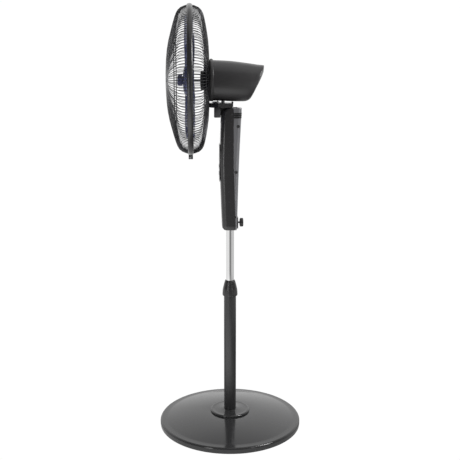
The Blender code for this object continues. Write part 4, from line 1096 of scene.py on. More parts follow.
    def rear_cover(self) -> bpy.types.Object:
        """Grey cover with its screw wells, tube hole and clamp hole.

        Returns:
            The finished piece.
        """
        piece = self.cover("case_rear", False, FLAKE_LACQUER)
        top = high("control_rear_cover").z
        half = self.yoke_slot_half
        foot = Vector((0.0, 0.0, low("control_rear_cover").z))
        tools = [
            box(
                "slot",
                Vector((-2.0 * MM, -half, TILT.z - 10.0 * MM)),
                Vector((TILT.x + 19.2 * MM, half, top + 10.0 * MM)),
                FLAKE_LACQUER,
            ),
            self.bar("tube", high("inner_tube").x + 0.3 * MM, foot, "Z", 6.0 * MM),
            self.bar("clamp", 3.3 * MM, Vector((20.0 * MM, 0.0, middle("clamp_knob").z)), "X", 12.0 * MM),
        ]
        for node in ("cover_screw_1", "cover_screw_2", "cover_screw_3"):
            centre = middle(node)
            for side in (-1.0, 1.0):
                _, rear, half_width = self.at(centre.z)
                mouth = Vector((rear + 2.0 * MM, side * -centre.y, centre.z))
                tools.append(self.bar("well", 3.9 * MM, mouth, "X", 6.0 * MM))
                tools.append(self.dimple(rear, side * half_width, centre.z))
        carve(piece, tools)
        return piece

    def dimple(self, rear: float, edge: float, height: float) -> bpy.types.Object:
        """Cutter for the round recess on the rear cover's corner.

        Args:
            rear: x of the rear face.
            edge: y of the side face, its sign giving the side.
            height: height of the centre.

        Returns:
            The cutter.
        """
        tool = self.bar("dimple", 5.0 * MM, Vector((0.0, 0.0, 0.0)), "Y", 1.9 * MM)
        tool.data.transform(self.on_corner(rear, edge, height))
        if edge < 0.0:
            tool.data.flip_normals()
        return tool

    def on_corner(self, rear: float, edge: float, height: float) -> Matrix:
        """Place on the rear cover's rounded corner, with Y pointing out of it.

        Args:
            rear: x of the rear face.
            edge: y of the side face, its sign giving the side.
            height: height of the centre.

        Returns:
            The placing matrix.
        """
        side = math.copysign(1.0, edge)
        turn = Matrix.Rotation(math.radians(-24.0 * side), 4, "Z")
        flip = Matrix.Diagonal((1.0, side, 1.0, 1.0))
        spot = Vector((rear - 8.4 * MM, edge - side * 0.6 * MM, height))
        return Matrix.Translation(spot) @ turn @ flip

    def corner_cap(self, number: int, rear: float, edge: float, height: float) -> bpy.types.Object:
        """Black plug seated in a corner recess.

        Args:
            number: number in the plug's name.
            rear: x of the rear face.
            edge: y of the side face.
            height: height of the centre.

        Returns:
            The plug.
        """
        profile = [
            (0.0, -1.6 * MM),
            (4.6 * MM, -1.6 * MM),
            (4.6 * MM, -0.7 * MM),
            (2.6 * MM, -1.0 * MM),
            (0.0, -1.2 * MM),
        ]
        piece = turned(f"case_plug_{number}", fillet(profile, 0.3 * MM), GLOSS_ABS, axis="Y", steps=32)
        piece.data.transform(self.on_corner(rear, edge, height))
        if edge < 0.0:
            piece.data.flip_normals()
        return piece

    def grip_ring(self, number: int, floor: float, tall: float) -> bpy.types.Object:
        """One ribbed black band round the rear cover, made of three fine ribs.

        Args:
            number: number in the band's name.
            floor: height of its lower edge.
            tall: its height.

        Returns:
            The band.
        """
        rings = []
        ribs = 3
        for step in range(ribs * 6 + 1):
            share = step / (ribs * 6)
            swell = 0.25 * MM + 0.45 * MM * abs(math.sin(math.pi * ribs * share))
            rings.append(self.ring(floor + share * tall, -swell, False, -0.6 * MM))
        return loft(f"grip_ring_{number}", rings, GRIP_BLACK, sharp=60.0)

    def screws(self) -> None:
        """Place the cover screws on both sides of the rear cover."""
        number = 0
        for node in ("cover_screw_1", "cover_screw_2", "cover_screw_3"):
            centre, face = middle(node), high(node).x
            for side in (1.0, -1.0):
                number += 1
                spot = Vector((face - 1.9 * MM, side * centre.y, centre.z))
                head = screw_head(f"cover_screw_head_{number}", spot, "X", 3.3 * MM, BLACK_SCREW)
                stands_for(head, "column", *([node] if side > 0.0 else []))
                _, rear, half = self.at(centre.z)
                plug = self.corner_cap(number, rear, -side * half, centre.z)
                stands_for(plug, "column")

    def clamp(self) -> None:
        """Clamp plate and the fluted thumb knob on its screw."""
        plate = softened_copy("clamp_plate", "clamp_pad", GLOSS_ABS, 0.6 * MM)
        stands_for(plate, "column", "clamp_plate")
        tip, end = low("clamp_knob").x, high("clamp_knob").x
        radius = high("clamp_knob").z - middle("clamp_knob").z
        start = end - 12.0 * MM
        spot = Vector((0.0, 0.0, middle("clamp_knob").z))
        profile = [(0.0, start), (0.55 * radius, start), (0.88 * radius, start + 1.0 * MM), (radius, start + 2.4 * MM)]
        profile += [(radius, end - 2.4 * MM), (0.90 * radius, end - 0.6 * MM), (0.55 * radius, end - 0.1 * MM)]
        profile += [(0.50 * radius, end - 0.9 * MM), (0.0, end - 0.9 * MM)]
        knob = turned(
            "thumb_knob", fillet(profile, 1.0 * MM), GLOSS_ABS, spot, "X", steps=192, flutes=16,
            flute_depth=0.5 * MM, flute_span=(start, end),
        )
        screw = self.thread(tip, start + 1.0 * MM, spot)
        for piece, slot in ((knob, "gloss_black"), (screw, "steel")):
            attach(piece, "clamp")
        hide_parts("clamp_knob")
        LOG.info("%s and %s ride on clamp", knob.name, screw.name)

    def thread(self, tip: float, end: float, spot: Vector) -> bpy.types.Object:
        """Threaded shank of the thumb screw.

        Args:
            tip: x of the shank's tip.
            end: x of its end in the knob.
            spot: a point on its axis.

        Returns:
            The threaded shank.
        """
        profile = [(0.0, tip), (2.2 * MM, tip)]
        place = tip + 0.6 * MM
        while place < end:
            profile += [(2.95 * MM, place), (2.45 * MM, place + 0.5 * MM)]
            place += 1.0 * MM
        profile.append((0.0, end))
        return turned("thumb_screw_thread", profile, ZINC_STEEL, spot, "X", steps=32)

    def pivots(self) -> None:
        """Small caps on both cheeks at the tilt axis."""
        _, _, half = self.at(TILT.z)
        for name, side in (("tilt_cap_near", -1.0), ("tilt_cap_far", 1.0)):
            profile = [
                (0.0, 0.0),
                (3.4 * MM, 0.0),
                (3.4 * MM, 0.5 * MM),
                (2.6 * MM, 0.9 * MM),
                (1.6 * MM, 0.4 * MM),
                (0.0, 0.4 * MM),
            ]
            cap = turned(name, fillet(profile, 0.25 * MM), GLOSS_ABS, axis="Y", steps=48)
            cap.data.transform(Matrix.Diagonal((1.0, side, 1.0, 1.0)))
            if side < 0.0:
                cap.data.flip_normals()
            cap.data.transform(Matrix.Translation((TILT.x, side * (half - 0.1 * MM), TILT.z)))
            stands_for(cap, "column")

    def build(self) -> None:
        """Build and dress the control box."""
        front = self.front_cover()
        stands_for(front, "column", "control_front_cover")
        rear = self.rear_cover()
        stands_for(rear, "column", "control_rear_cover")
        for number in range(3):
            band = self.grip_ring(number + 1, TILT.z - 9.7 * MM + 5.6 * MM * number, 4.7 * MM)
            stands_for(band, "column")
        self.screws()
        self.clamp()
        self.pivots()
        Panel().build()
        dress(ZINC_STEEL, "tilt_yoke", "tilt_bolt", "tilt_nut")
        dress(RUBBER, "cord_gland")
        dress(SOLDER_MASK, "circuit_board")


@dataclass
class Panel:
    """Control panel with its window and four keys.

    Attributes:
        mark: radius of an index dot.
    """

    mark: float = 0.9 * MM

    @staticmethod
    def keys() -> tuple[str, ...]:
        """Names of the key nodes."""
        return ("power_key", "speed_key", "timer_key", "swing_key")

    def key(self, node: str) -> bpy.types.Object:
        """Mould a dished round key.

        Args:
            node: name of the key in the frame.

        Returns:
            The key's cap.
        """
        centre, face, back = middle(node), low(node).x, high(node).x
        radius = high(node).y - centre.y
        profile = [(0.0, face + 0.35 * MM), (0.55 * radius, face + 0.25 * MM), (0.85 * radius, face)]
        profile += [(radius, face + 0.5 * MM), (radius, back), (0.0, back)]
        return turned(f"{node}_cap", fillet(profile, 0.4 * MM), KEY_PLASTIC, (0.0, centre.y, centre.z), "X", steps=64)

    def marks(self) -> bpy.types.Object:
        """Small generic index dots beside the keys.

        Returns:
            The finished piece.
        """
        face = low("control_panel").x
        proud, sunk = face - 0.12 * MM, face + 0.1 * MM
        dots = []
        for index, node in enumerate(self.keys()):
            centre = middle(node)
            reach = (high(node).y - centre.y + 2.6 * MM) * (-1.0 if index % 2 == 0 else 1.0)
            profile = [(0.0, proud), (self.mark, proud), (self.mark, sunk), (0.0, sunk)]
            dots.append(turned("dot", profile, PRINT_WHITE, (0.0, centre.y + reach, centre.z), "X", steps=20))
        return merge("panel_marks", dots)

    def build(self) -> None:
        """Build and dress the panel."""
        plate = softened_copy("control_panel", "panel_plate", GLOSS_ABS, 0.35 * MM)
        stands_for(plate, "column", "control_panel")
        pane = softened_copy("display_window", "display_pane", SMOKED_ACRYLIC, 0.3 * MM)
        stands_for(pane, "column", "display_window")
        dots = self.marks()
        stands_for(dots, "column")
        for node in self.keys():
            key = self.key(node)
            stands_for(key, node.replace("_key", "_button"), node)


# ---------------------------------------------------------------- neck and swing drive
@dataclass
class Neck:
    """Tilting bracket, the swing motor under it, and the crank and link above it.

    Attributes:
        edge: rounding of the moulded edges.
    """

    edge: float = 1.1 * MM

    def build(self) -> None:
        """Build and dress the neck."""
        bracket = softened_copy("neck_bracket", "neck_plate", GLOSS_ABS, self.edge)
        stands_for(bracket, "neck", "neck_bracket")
        # The swing motor box's lighter grey is painted light against the shade that the head casts on it.
        cover = softened_copy("swing_motor_cover", "swing_motor_box", GREY_PP_PAINTED_LIGHT, 0.8 * MM)
        stands_for(cover, "neck", "swing_motor_cover")
        dress(SINTERED, "pivot_bush")
        dress(ZINC_STEEL, "swing_motor")
        for node, body in (("swing_crank", "crank"), ("swing_link", "link")):
            piece = softened_copy(node, f"{node}_part", ZINC_STEEL, 0.25 * MM)
            stands_for(piece, body, node)


# ---------------------------------------------------------------- motor head
@dataclass
class MotorHead:
    """Motor with its slanted housing, front cover and grille lock nut.

    Attributes:
        stations: top x, top z above the axle, bottom x, bottom z, and half width of each slanted ring.
        wall: thickness of the housing.
        vents: number of slots in the rear face.
    """

    stations: tuple[tuple[float, float, float, float, float], ...] = (
        (-50.0 * MM, 59.0 * MM, -50.0 * MM, -59.0 * MM, 59.0 * MM),
        (0.0 * MM, 56.5 * MM, -10.0 * MM, -60.5 * MM, 59.5 * MM),
        (50.0 * MM, 50.5 * MM, 30.0 * MM, -61.2 * MM, 57.5 * MM),
        (80.0 * MM, 46.0 * MM, 46.0 * MM, -60.5 * MM, 55.0 * MM),
        (97.5 * MM, 44.2 * MM, 56.0 * MM, -56.5 * MM, 52.0 * MM),
        (100.2 * MM, 41.2 * MM, 62.0 * MM, -49.5 * MM, 46.5 * MM),
        (99.5 * MM, 28.0 * MM, 67.0 * MM, -38.0 * MM, 36.0 * MM),
    )
    wall: float = 2.2 * MM
    vents: int = 7

    def rings(self, inset: float) -> list[list[Vector]]:
        """Fine slanted rings of the housing, drawn in by inset."""
        rows = smooth_stations([(float(index), *station) for index, station in enumerate(self.stations)], 8)
        rings = []
        for index, (_, top_x, top_z, bottom_x, bottom_z, half) in enumerate(rows):
            shift = 4.0 * MM if inset and index == 0 else inset
            top = Vector((top_x - shift, 0.0, AXLE.z + top_z))
            bottom = Vector((bottom_x - shift, 0.0, AXLE.z + bottom_z))
            centre, up = (top + bottom) / 2.0, (top - bottom) / 2.0
            up -= up.normalized() * inset
            side = Vector((0.0, half - inset, 0.0))
            ring = []
            for step in range(128):
                angle = 2.0 * math.pi * step / 128
                ring.append(centre + up * math.cos(angle) + side * math.sin(angle))
            rings.append(ring)
        return rings

    def housing(self) -> bpy.types.Object:
        """Mould the housing shell with its vents and the slot for the post.

        Returns:
            The finished piece.
        """
        piece = loft("housing_shell", self.rings(0.0), SATIN_ABS)
        carve(piece, [loft("hollow", self.rings(self.wall), SATIN_ABS)])
        tools = [
            box(
                "slot",
                Vector((low("pivot_post").x - 18.0 * MM, -10.0 * MM, high("pivot_post").z - 10.0 * MM)),
                Vector((high("pivot_post").x + 6.0 * MM, 10.0 * MM, high("pivot_post").z + 12.0 * MM)),
                SATIN_ABS,
            )
        ]
        for index in range(self.vents):
            offset = (index - (self.vents - 1) / 2.0) * 8.0 * MM
            reach = math.sqrt(max(1.0 - (offset / (33.0 * MM)) ** 2, 0.0)) * 24.0 * MM
            corner = Vector((8.0 * MM, reach, 1.4 * MM))
            slot = box("vent", -corner, corner, SATIN_ABS, 1.2 * MM)
            tilt = Matrix.Rotation(math.radians(26.0), 4, "Y")
            place = Matrix.Translation((83.2 * MM, 0.0, AXLE.z - 5.0 * MM))
            slot.data.transform(place @ tilt @ Matrix.Translation((0.0, 0.0, offset)))
            tools.append(slot)
        carve(piece, tools)
        return piece

    def front_cover(self) -> bpy.types.Object:
        """Turn the front cover with its raised collar and threaded boss.

        Returns:
            The finished piece.
        """
        node = "motor_front_cover"
        front, rear, outer = low(node).x, high(node).x, high(node).y
        seat, step = front + 12.8 * MM, rear - 11.5 * MM
        boss, bore = 19.0 * MM, 8.0 * MM
        profile = [(bore, front), (boss - 1.2 * MM, front)]
        place = front + 0.8 * MM
        while place < seat - 1.0 * MM:
            profile += [(boss, place), (boss - 0.7 * MM, place + 1.0 * MM)]
            place += 2.0 * MM
        profile += [
            (boss, seat),
            (27.0 * MM, seat),
            (28.5 * MM, seat + 8.5 * MM),
            (outer - 14.0 * MM, step - 0.6 * MM),
            (outer - 7.0 * MM, step),
            (outer - 2.6 * MM, step + 0.3 * MM),
            (outer - 0.9 * MM, step + 1.4 * MM),
            (outer, step + 3.2 * MM),
            (outer, rear - 0.8 * MM),
            (outer - 0.6 * MM, rear),
            (outer - 3.5 * MM, rear),
            (outer - 3.5 * MM, step + 5.5 * MM),
            (39.0 * MM, step + 3.5 * MM),
            (bore, step + 3.5 * MM),
        ]
        cover = turned("housing_front", profile, SATIN_ABS, (0.0, 0.0, AXLE.z), "X", steps=192)
        top = AXLE.z + outer
        latch = box(
            "latch",
            Vector((rear - 8.5 * MM, -5.0 * MM, top - 1.5 * MM)),
            Vector((rear - 2.0 * MM, 5.0 * MM, top + 1.6 * MM)),
            SATIN_ABS,
            0.9 * MM,
        )
        carve(cover, [latch], "UNION")
        return cover

    def lock_nut(self) -> bpy.types.Object:
        """Turn the ribbed nut that holds the rear grille.

        Returns:
            The finished piece.
        """
        node = "grille_lock_nut"
        front, rear, radius = low(node).x, high(node).x, high(node).y
        profile = [(19.3 * MM, front), (radius - 3.2 * MM, front), (radius - 1.0 * MM, front + 0.5 * MM)]
        profile += [(radius, front + 1.4 * MM), (radius, rear), (19.3 * MM, rear)]
        return turned(
            "grille_nut", profile, GLOSS_ABS, (0.0, 0.0, AXLE.z), "X", steps=360, flutes=30,
            flute_depth=1.4 * MM, flute_span=(front + 0.4 * MM, rear + 1.0 * MM),
        )

    def build(self) -> None:
        """Build and dress the motor head."""
        for piece, node, slot in (
            (self.housing(), "motor_housing", "housing_grey"),
            (self.front_cover(), "motor_front_cover", "housing_grey"),
            (self.lock_nut(), "grille_lock_nut", "gloss_black"),
        ):
            stands_for(piece, "head", node)
        dress(ZINC_STEEL, "pivot_post", "pivot_clip")
        dress(DIE_CAST, "motor_front_bracket", "motor_rear_bracket")
        dress(LAMINATION, "stator_core")
        dress(ENAMEL_COPPER, "stator_coil_front", "stator_coil_rear")
        dress(SINTERED, "front_bearing", "rear_bearing")


# ---------------------------------------------------------------- guard
@dataclass
class Guard:
    """Wire grilles, the band that joins them, its clip, and the badge.

    Attributes:
        wires: radial wires of each grille.
        wire: radius of a radial wire.
        ring_wire: radius of a round wire.
        hoop_front: where the inner round wire of the front grille lies.
        hoop_rear: the same on the rear grille.
        front: (radius, distance from the band's middle plane) along a front wire.
        rear: the same along a rear wire.
    """

    wires: int = 150
    wire: float = 0.95 * MM
    ring_wire: float = 1.5 * MM
    hoop_front: float = 172.0 * MM
    hoop_rear: float = 158.0 * MM
    front: tuple[tuple[float, float], ...] = (
        (215.0 * MM, 4.5 * MM), (213.0 * MM, 13.0 * MM), (208.0 * MM, 25.0 * MM), (201.0 * MM, 33.0 * MM),
        (192.0 * MM, 38.5 * MM), (180.0 * MM, 43.0 * MM), (162.0 * MM, 48.6 * MM), (139.0 * MM, 55.0 * MM),
        (116.0 * MM, 61.0 * MM), (92.0 * MM, 65.5 * MM), (69.0 * MM, 68.2 * MM), (46.5 * MM, 69.5 * MM),
    )
    rear: tuple[tuple[float, float], ...] = (
        (215.0 * MM, 4.5 * MM), (213.0 * MM, 14.0 * MM), (208.0 * MM, 26.0 * MM), (201.0 * MM, 33.5 * MM),
        (192.0 * MM, 38.5 * MM), (180.0 * MM, 42.0 * MM), (162.0 * MM, 45.8 * MM), (139.0 * MM, 49.8 * MM),
        (116.0 * MM, 53.0 * MM), (90.0 * MM, 54.8 * MM), (68.0 * MM, 51.5 * MM), (50.0 * MM, 42.5 * MM),
        (44.0 * MM, 41.2 * MM),
        (34.0 * MM, 41.2 * MM), (25.5 * MM, 41.2 * MM),
    )

    def band_x(self) -> float:
        """Middle plane of the band."""
        return middle("guard_rim").x

    def curve(self, side: float) -> Profile:
        """Fine (radius, x) line of one radial wire."""
        points = self.front if side < 0.0 else self.rear
        return [(radius, self.band_x() + side * ahead) for radius, ahead in points]

    def round_wire(self, name: str, radius: float, side: float, lift: float, thick: float) -> bpy.types.Object:
        """A round wire that lies on the radial wires at a radius.

        Args:
            name: object name.
            radius: radius of the round wire.
            side: -1 for the front grille, 1 for the rear.
            lift: distance from the radial wires' middle.
            thick: radius of the wire itself.

        Returns:
            The round wire.
        """
        line = self.curve(side)
        place = line[-1][1]
        for (r0, x0), (r1, x1) in zip(line, line[1:]):
            if r1 <= radius <= r0:
                place = x0 + (x1 - x0) * (r0 - radius) / (r0 - r1)
        place += side * lift
        profile = []
        for step in range(10):
            angle = 2.0 * math.pi * step / 10
            profile.append((radius + thick * math.cos(angle), place + thick * math.sin(angle)))
        return turned(name, profile, CHROME_WIRE, (0.0, 0.0, AXLE.z), "X", steps=192)

    def grille(self, side: float, label: str) -> None:
        """Build one grille: its radial wires, its round wires and their joint.

        Args:
            side: -1 for the front grille, 1 for the rear.
            label: first word of the pieces' names.
        """
        line = bent_line(f"{label}_wire", self.curve(side))
        radial = repeated(f"{label}_wires", line, self.wires, CHROME_WIRE, self.wire)
        stands_for(radial, "head", f"{label}_grille")
        lift = -(self.wire + 0.6 * self.ring_wire)
        hoop = self.hoop_front if side < 0.0 else self.hoop_rear
        rings = [self.round_wire("ring", hoop, side, lift, self.ring_wire)]
        rings.append(self.round_wire("ring", self.curve(side)[-1][0], side, lift, 1.3 * self.ring_wire))
        rings.append(self.round_wire("ring", self.curve(side)[0][0] - 0.6 * MM, side, 0.0, 1.2 * MM))
        rounds = merge(f"{label}_rings", rings)
        rounds.data.shade_smooth()
        stands_for(rounds, "head")

    def band(self) -> bpy.types.Object:
        """Roll the convex band with its turned-in lips.

        Returns:
            The finished piece.
        """
        radius, half = high("guard_rim").y, (high("guard_rim").x - low("guard_rim").x) / 2.0
        centre = self.band_x()
        outer = []
        for step in range(25):
            share = step / 12.0 - 1.0
            drop = 3.2 * MM * abs(share) ** 2.6
            outer.append((radius - drop, centre + half * share))
        inner = [(radius - 4.4 * MM, centre + half * 0.92), (radius - 3.5 * MM, centre + half * 0.7)]
        inner += [(radius - 3.5 * MM, centre - half * 0.7), (radius - 4.4 * MM, centre - half * 0.92)]
        return turned("guard_band", outer + inner, GLOSS_ABS, (0.0, 0.0, AXLE.z), "X", steps=256)

    def badge(self) -> bpy.types.Object:
        """Press the plain domed badge with a raised rim.

        Returns:
            The finished piece.
        """
        front, rear, radius = low("front_badge").x, high("front_badge").x, high("front_badge").y
        profile = [(0.0, front)]
        for step in range(1, 13):
            share = step / 12.0
            profile.append((0.84 * radius * share, front + 2.6 * MM * share**2))
        profile += [
            (0.87 * radius, front + 3.4 * MM),
            (0.91 * radius, front + 2.7 * MM),
            (0.97 * radius, front + 3.1 * MM),
            (radius, front + 4.3 * MM),
            (radius, rear - 0.5 * MM),
            (0.97 * radius, rear),
            (0.0, rear),
        ]
        return turned("guard_badge", profile, TURNED_SILVER, (0.0, 0.0, AXLE.z), "X", steps=160)

    def clip(self) -> None:
        """Clip and screw that close the band at the bottom."""
        clip = softened_copy("rim_clip", "band_clip", GLOSS_ABS, 2.6 * MM)
        stands_for(clip, "head", "rim_clip")
        spot = middle("rim_screw")
        start, end = high("rim_screw").y, low("rim_screw").y
        profile = [(0.0, start), (2.0 * MM, start), (2.0 * MM, end + 2.0 * MM), (0.0, end + 2.0 * MM)]
        shank = turned("band_screw", fillet(profile, 0.3 * MM), ZINC_STEEL, (spot.x, 0.0, spot.z), "Y", steps=32)
        head = screw_head("band_screw_head", Vector((0.0, 0.0, 0.0)), "Y", 3.6 * MM, ZINC_STEEL)
        place = Matrix.Translation((spot.x, end + 2.3 * MM, spot.z))
        head.data.transform(place @ Matrix.Rotation(math.pi, 4, "Z"))
        stands_for(shank, "head", "rim_screw")
        stands_for(head, "head")

    def build(self) -> None:
        """Build and dress the guard."""
        self.grille(-1.0, "front")
        self.grille(1.0, "rear")
        band = self.band()
        stands_for(band, "head", "guard_rim")
        badge = self.badge()
        stands_for(badge, "head", "front_badge")
        self.clip()


# ---------------------------------------------------------------- rotor
@dataclass
class Rotor:
    """Five swept blades on their hub, the shaft and the ribbed spinner nut.

    Attributes:
        count: number of blades.
        half_depth: half the depth of a blade along the axle.
        half_angle: half the angle that a blade covers at its root.
        sweep: how far the tip leads the root.
        thickness: thickness of a blade in its middle.
        middle_x: plane that a blade's middle lies in.
        hub_radius: outside radius of the hub.
        tip_radius: radius the blade tips reach.
    """

    count: int = 5
    half_depth: float = 15.0 * MM
    half_angle: float = math.radians(26.0)
    sweep: float = math.radians(14.0)
    thickness: float = 2.4 * MM
    middle_x: float = -119.0 * MM
    hub_radius: float = 47.0 * MM
    tip_radius: float = 190.0 * MM

    def section(self, reach: float, chord: int) -> list[Vector]:
        """Closed line round a blade at a share of its span, about the axle.

        Args:
            reach: share of the blade's span, 0 at the hub and 1 at the tip.
            chord: number of points across the blade.

        Returns:
            The section's points.
        """
        radius = self.hub_radius - 0.8 * MM + reach * (self.tip_radius - self.hub_radius + 0.8 * MM)
        spread = self.half_angle * (1.0 - 0.25 * reach**2)
        if reach > 0.80:
            past = (reach - 0.80) / 0.20
            spread *= max(1.0 - past**2.4, 0.0) ** 0.42 * 0.96 + 0.04
        depth = self.half_depth * (0.80 + 0.20 * math.sin(math.pi * reach))
        front, back = [], []
        for step in range(chord):
            share = 2.0 * step / (chord - 1) - 1.0
            angle = self.sweep * reach + spread * share
            x = self.middle_x + depth * share + 4.0 * MM * (1.0 - share**2)
            half = self.thickness / 2.0 * (0.30 + 0.70 * (1.0 - share**4))
            y, z = radius * math.sin(angle), radius * math.cos(angle)
            front.append(Vector((x - half, y, z)))
            back.append(Vector((x + half, y, z)))
        return front + back[::-1]

    def blades(self) -> bpy.types.Object:
        """Mould the blades as one repeated shape.

        Returns:
            The finished piece.
        """
        spans = [step / 22.0 for step in range(19)] + [0.86, 0.89, 0.92, 0.945, 0.965, 0.98, 0.99, 1.0]
        rings = [self.section(reach, 19) for reach in spans]
        blade = loft("blade", rings, SMOKED_SAN)
        blade.data.transform(Matrix.Translation((-AXLE.x, 0.0, 0.0)))
        return repeated("smoked_blades", blade, self.count, SMOKED_SAN)

    def hub(self) -> bpy.types.Object:
        """Turn the blades' hub.

        Returns:
            The finished piece.
        """
        front, rear, radius = high("blade_spinner").x + 0.3 * MM, -106.0 * MM, self.hub_radius
        bore = high("rotor_shaft").y + 0.3 * MM
        profile = [
            (bore, front),
            (12.0 * MM, front),
            (13.2 * MM, front + 1.6 * MM),
            (0.45 * radius, front + 1.8 * MM),
            (0.64 * radius, front + 3.2 * MM),
            (0.80 * radius, front + 5.4 * MM),
            (0.91 * radius, front + 8.4 * MM),
            (0.98 * radius, front + 12.5 * MM),
            (radius, front + 18.0 * MM),
            (radius + 1.0 * MM, rear),
            (radius - 1.5 * MM, rear),
            (radius - 3.0 * MM, front + 18.0 * MM),
            (0.86 * radius, front + 13.0 * MM),
            (0.60 * radius, front + 7.0 * MM),
            (12.0 * MM, front + 5.0 * MM),
            (12.0 * MM, rear),
            (bore, rear),
        ]
        return turned("blade_hub", profile, SOLID_SAN, (0.0, 0.0, AXLE.z), "X", steps=160)

    def spinner(self) -> bpy.types.Object:
        """Turn the ribbed nut that holds the blades.

        Returns:
            The finished piece.
        """
        front, rear, radius = low("blade_spinner").x, high("blade_spinner").x, high("blade_spinner").y
        profile = [(0.0, front), (0.55 * radius, front), (0.85 * radius, front + 1.2 * MM), (radius, front + 4.5 * MM)]
        profile += [(radius, rear), (0.0, rear)]
        return turned(
            "spinner_nut", fillet(profile, 1.2 * MM), SOLID_SAN, (0.0, 0.0, AXLE.z), "X", steps=192, flutes=16,
            flute_depth=1.5 * MM, flute_span=(front + 3.0 * MM, rear + 1.0 * MM),
        )

    def build(self) -> None:
        """Build and dress the rotor."""
        blades = self.blades()
        stands_for(blades, "rotor", "fan_blades")
        hub = self.hub()
        stands_for(hub, "rotor")
        spinner = self.spinner()
        stands_for(spinner, "rotor", "blade_spinner")
        dress(ZINC_STEEL, "rotor_shaft")
        dress(LAMINATION, "rotor_core")


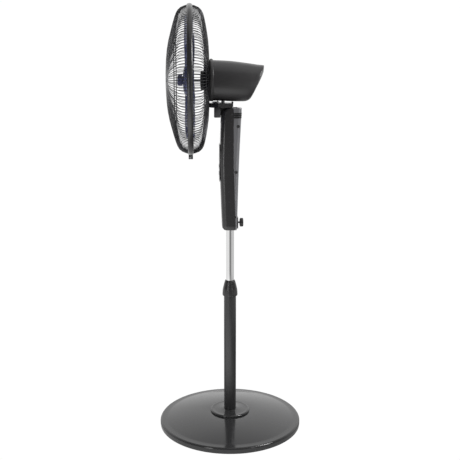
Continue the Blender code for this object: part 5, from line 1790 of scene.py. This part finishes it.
# ---------------------------------------------------------------- studio
@dataclass
class Studio:
    """Pale floor, white surroundings, soft lights and the camera.

    Attributes:
        azimuth: camera direction in degrees, 0 looking along +Y.
        distance: camera distance from the pole's axis.
        height: camera height.
        tip: downward tilt in degrees.
        lens: focal length in millimetres on a 36 mm sensor.
        white: brightness of the floor and the surroundings in view.
    """

    azimuth: float = -2.8
    distance: float = 2.405
    height: float = 1.147
    tip: float = 12.0
    lens: float = 62.6
    white: float = 1.02

    def camera(self) -> None:
        """Place the camera at the object's side, a little above."""
        turn = math.radians(self.azimuth)
        data = bpy.data.cameras.new("camera")
        data.lens = self.lens
        data.sensor_width = 36.0
        camera = bpy.data.objects.new("camera", data)
        camera.location = (self.distance * math.sin(turn), -self.distance * math.cos(turn), self.height)
        camera.rotation_euler = (math.radians(90.0 - self.tip), 0.0, turn)
        bpy.context.scene.collection.objects.link(camera)
        bpy.context.scene.camera = camera

    def floor(self) -> None:
        """Lay a pale floor that glows as a light table does."""
        shape = bmesh.new()
        bmesh.ops.create_grid(shape, x_segments=2, y_segments=2, size=6.0)
        mesh = bpy.data.meshes.new("floor")
        shape.to_mesh(mesh)
        shape.free()
        floor = bpy.data.objects.new("floor", mesh)
        bpy.context.scene.collection.objects.link(floor)
        made = bpy.data.materials.new("light_table")
        made.use_nodes = True
        tree = made.node_tree
        tree.nodes.clear()
        seen = self.in_view(tree)
        glow = add_node(tree, "ShaderNodeEmission", Color=(1.0, 1.0, 1.0, 1.0), Strength=self.white).outputs[0]
        paper = add_node(tree, "ShaderNodeEmission", Color=(1.0, 1.0, 1.0, 1.0), Strength=self.table_glow_with_painted_shade(tree)).outputs[0]
        both = add_node(tree, "ShaderNodeMixShader", i0=seen, i1=paper, i2=glow).outputs[0]
        add_node(tree, "ShaderNodeOutputMaterial", Surface=both)
        mesh.materials.append(made)

    @staticmethod
    def span(tree: bpy.types.NodeTree, value: bpy.types.NodeSocket, *ends: float) -> bpy.types.NodeSocket:
        """Fade smoothly from one pair of ends to the other, given as from, from, to, to."""
        smooth = {"interpolation_type": "SMOOTHSTEP"}
        return add_node(
            tree, "ShaderNodeMapRange", smooth, i0=value, i1=ends[0], i2=ends[1], i3=ends[2], i4=ends[3]
        ).outputs[0]

    @staticmethod
    def sum_up(
        tree: bpy.types.NodeTree, operation: str, first: bpy.types.NodeSocket | float, second: bpy.types.NodeSocket | float
    ) -> bpy.types.NodeSocket:
        """Join two values by a mathematical operation."""
        return add_node(tree, "ShaderNodeMath", {"operation": operation}, i0=first, i1=second).outputs[0]

    def in_view(self, tree: bpy.types.NodeTree) -> bpy.types.NodeSocket:
        """1 for what the camera sees, directly or through the clear blades."""
        path = add_node(tree, "ShaderNodeLightPath").outputs
        return self.sum_up(tree, "MAXIMUM", path["Is Camera Ray"], path["Is Transmission Ray"])

    def table_glow_with_painted_shade(self, tree: bpy.types.NodeTree) -> bpy.types.NodeSocket:
        """Brightness of the table as the object sees it: dark mats right and in front, and painted shade on the table
        round the base, under the rim.

        Args:
            tree: node tree of the table's material.

        Returns:
            The socket that gives the brightness.
        """
        place = add_node(tree, "ShaderNodeTexCoord").outputs["Object"]
        parts = add_node(tree, "ShaderNodeSeparateXYZ", i0=place).outputs
        reach = add_node(tree, "ShaderNodeVectorMath", {"operation": "LENGTH"}, i0=place).outputs["Value"]
        near = self.span(tree, parts[0], -0.15, 0.60, 1.60, 0.15)
        near = self.sum_up(tree, "MULTIPLY", near, self.span(tree, parts[1], -0.15, 0.10, 1.0, 0.30))
        ahead = self.sum_up(tree, "MAXIMUM", self.sum_up(tree, "MULTIPLY", parts[1], -1.0), 0.02)
        slant = self.sum_up(tree, "DIVIDE", parts[0], ahead)
        left = self.span(tree, slant, -0.50, -0.20, 0.95, 0.26)
        right = self.span(tree, slant, 0.50, 0.80, 0.0, 0.42)
        far = self.sum_up(tree, "ADD", left, right)
        share = self.span(tree, reach, 1.0, 1.7, 0.0, 1.0)
        mixed = add_node(tree, "ShaderNodeMix", i0=share, i2=near, i3=far).outputs[0]
        # The glow dims within half a metre of the pole: painted shade round the base, seen in the base's reflections.
        return self.sum_up(tree, "MULTIPLY", mixed, self.span(tree, reach, 0.24, 0.50, 0.55, 1.0))

    def surroundings(self) -> None:
        """White to the eye, and a soft bank of light for the object to reflect."""
        world = bpy.data.worlds.new("studio")
        world.use_nodes = True
        bpy.context.scene.world = world
        tree = world.node_tree
        tree.nodes.clear()
        way = add_node(tree, "ShaderNodeTexCoord").outputs["Generated"]
        parts = add_node(tree, "ShaderNodeSeparateXYZ", i0=way).outputs
        behind = self.span(tree, parts[1], -0.30, 0.85, 0.14, 1.15)
        upper = self.span(tree, parts[2], 0.60, 0.90, 1.0, 0.70)
        total = self.sum_up(tree, "MULTIPLY", upper, behind)
        soft = add_node(tree, "ShaderNodeBackground", Color=(1.0, 1.0, 1.0, 1.0), Strength=total).outputs[0]
        plain = add_node(tree, "ShaderNodeBackground", Color=(1.0, 1.0, 1.0, 1.0), Strength=self.white).outputs[0]
        seen = self.in_view(tree)
        choice = add_node(tree, "ShaderNodeMixShader", i0=seen, i1=soft, i2=plain).outputs[0]
        add_node(tree, "ShaderNodeOutputWorld", Surface=choice)

    def area(self, name: str, at: Point, aim: Point, size: tuple[float, float], power: float) -> None:
        """Hang a soft box that faces a point.

        Args:
            name: name of the lamp.
            at: its place.
            aim: the point it looks at.
            size: width and height.
            power: power in watts.
        """
        data = bpy.data.lights.new(name, "AREA")
        data.shape = "RECTANGLE"
        data.size, data.size_y = size
        data.energy = power
        lamp = bpy.data.objects.new(name, data)
        lamp.location = at
        lamp.rotation_euler = (Vector(aim) - Vector(at)).to_track_quat("-Z", "Y").to_euler()
        lamp.visible_camera = False
        bpy.context.scene.collection.objects.link(lamp)

    def build(self) -> None:
        """Set up the studio; the standard view keeps white at white."""
        bpy.context.scene.view_settings.view_transform = "Standard"
        self.camera()
        self.floor()
        self.surroundings()
        self.area("left_box", (-0.95, -1.35, 0.85), (0.0, 0.0, 0.85), (0.30, 0.9), 3.9)
        self.area("rear_strip", (0.85, -1.36, 0.85), (0.0, 0.0, 0.85), (0.14, 0.9), 1.1)
        self.area("right_box", (1.5, -0.55, 2.0), (0.0, 0.0, 0.1), (0.5, 1.0), 26.0)
        self.area("top_box", (0.2, -0.2, 3.0), (0.0, 0.0, 0.8), (1.6, 1.6), 5.0)


def main() -> None:
    """Build the studio and every part of the fan."""
    for assembly in (Studio(), Stand(), HeightLock(), ControlBox(), Neck(), MotorHead(), Guard(), Rotor()):
        LOG.info("building %s", type(assembly).__name__)
        assembly.build()


if __name__ == "__main__":
    logging.basicConfig(level=logging.INFO, format="%(name)s: %(message)s")
    main()
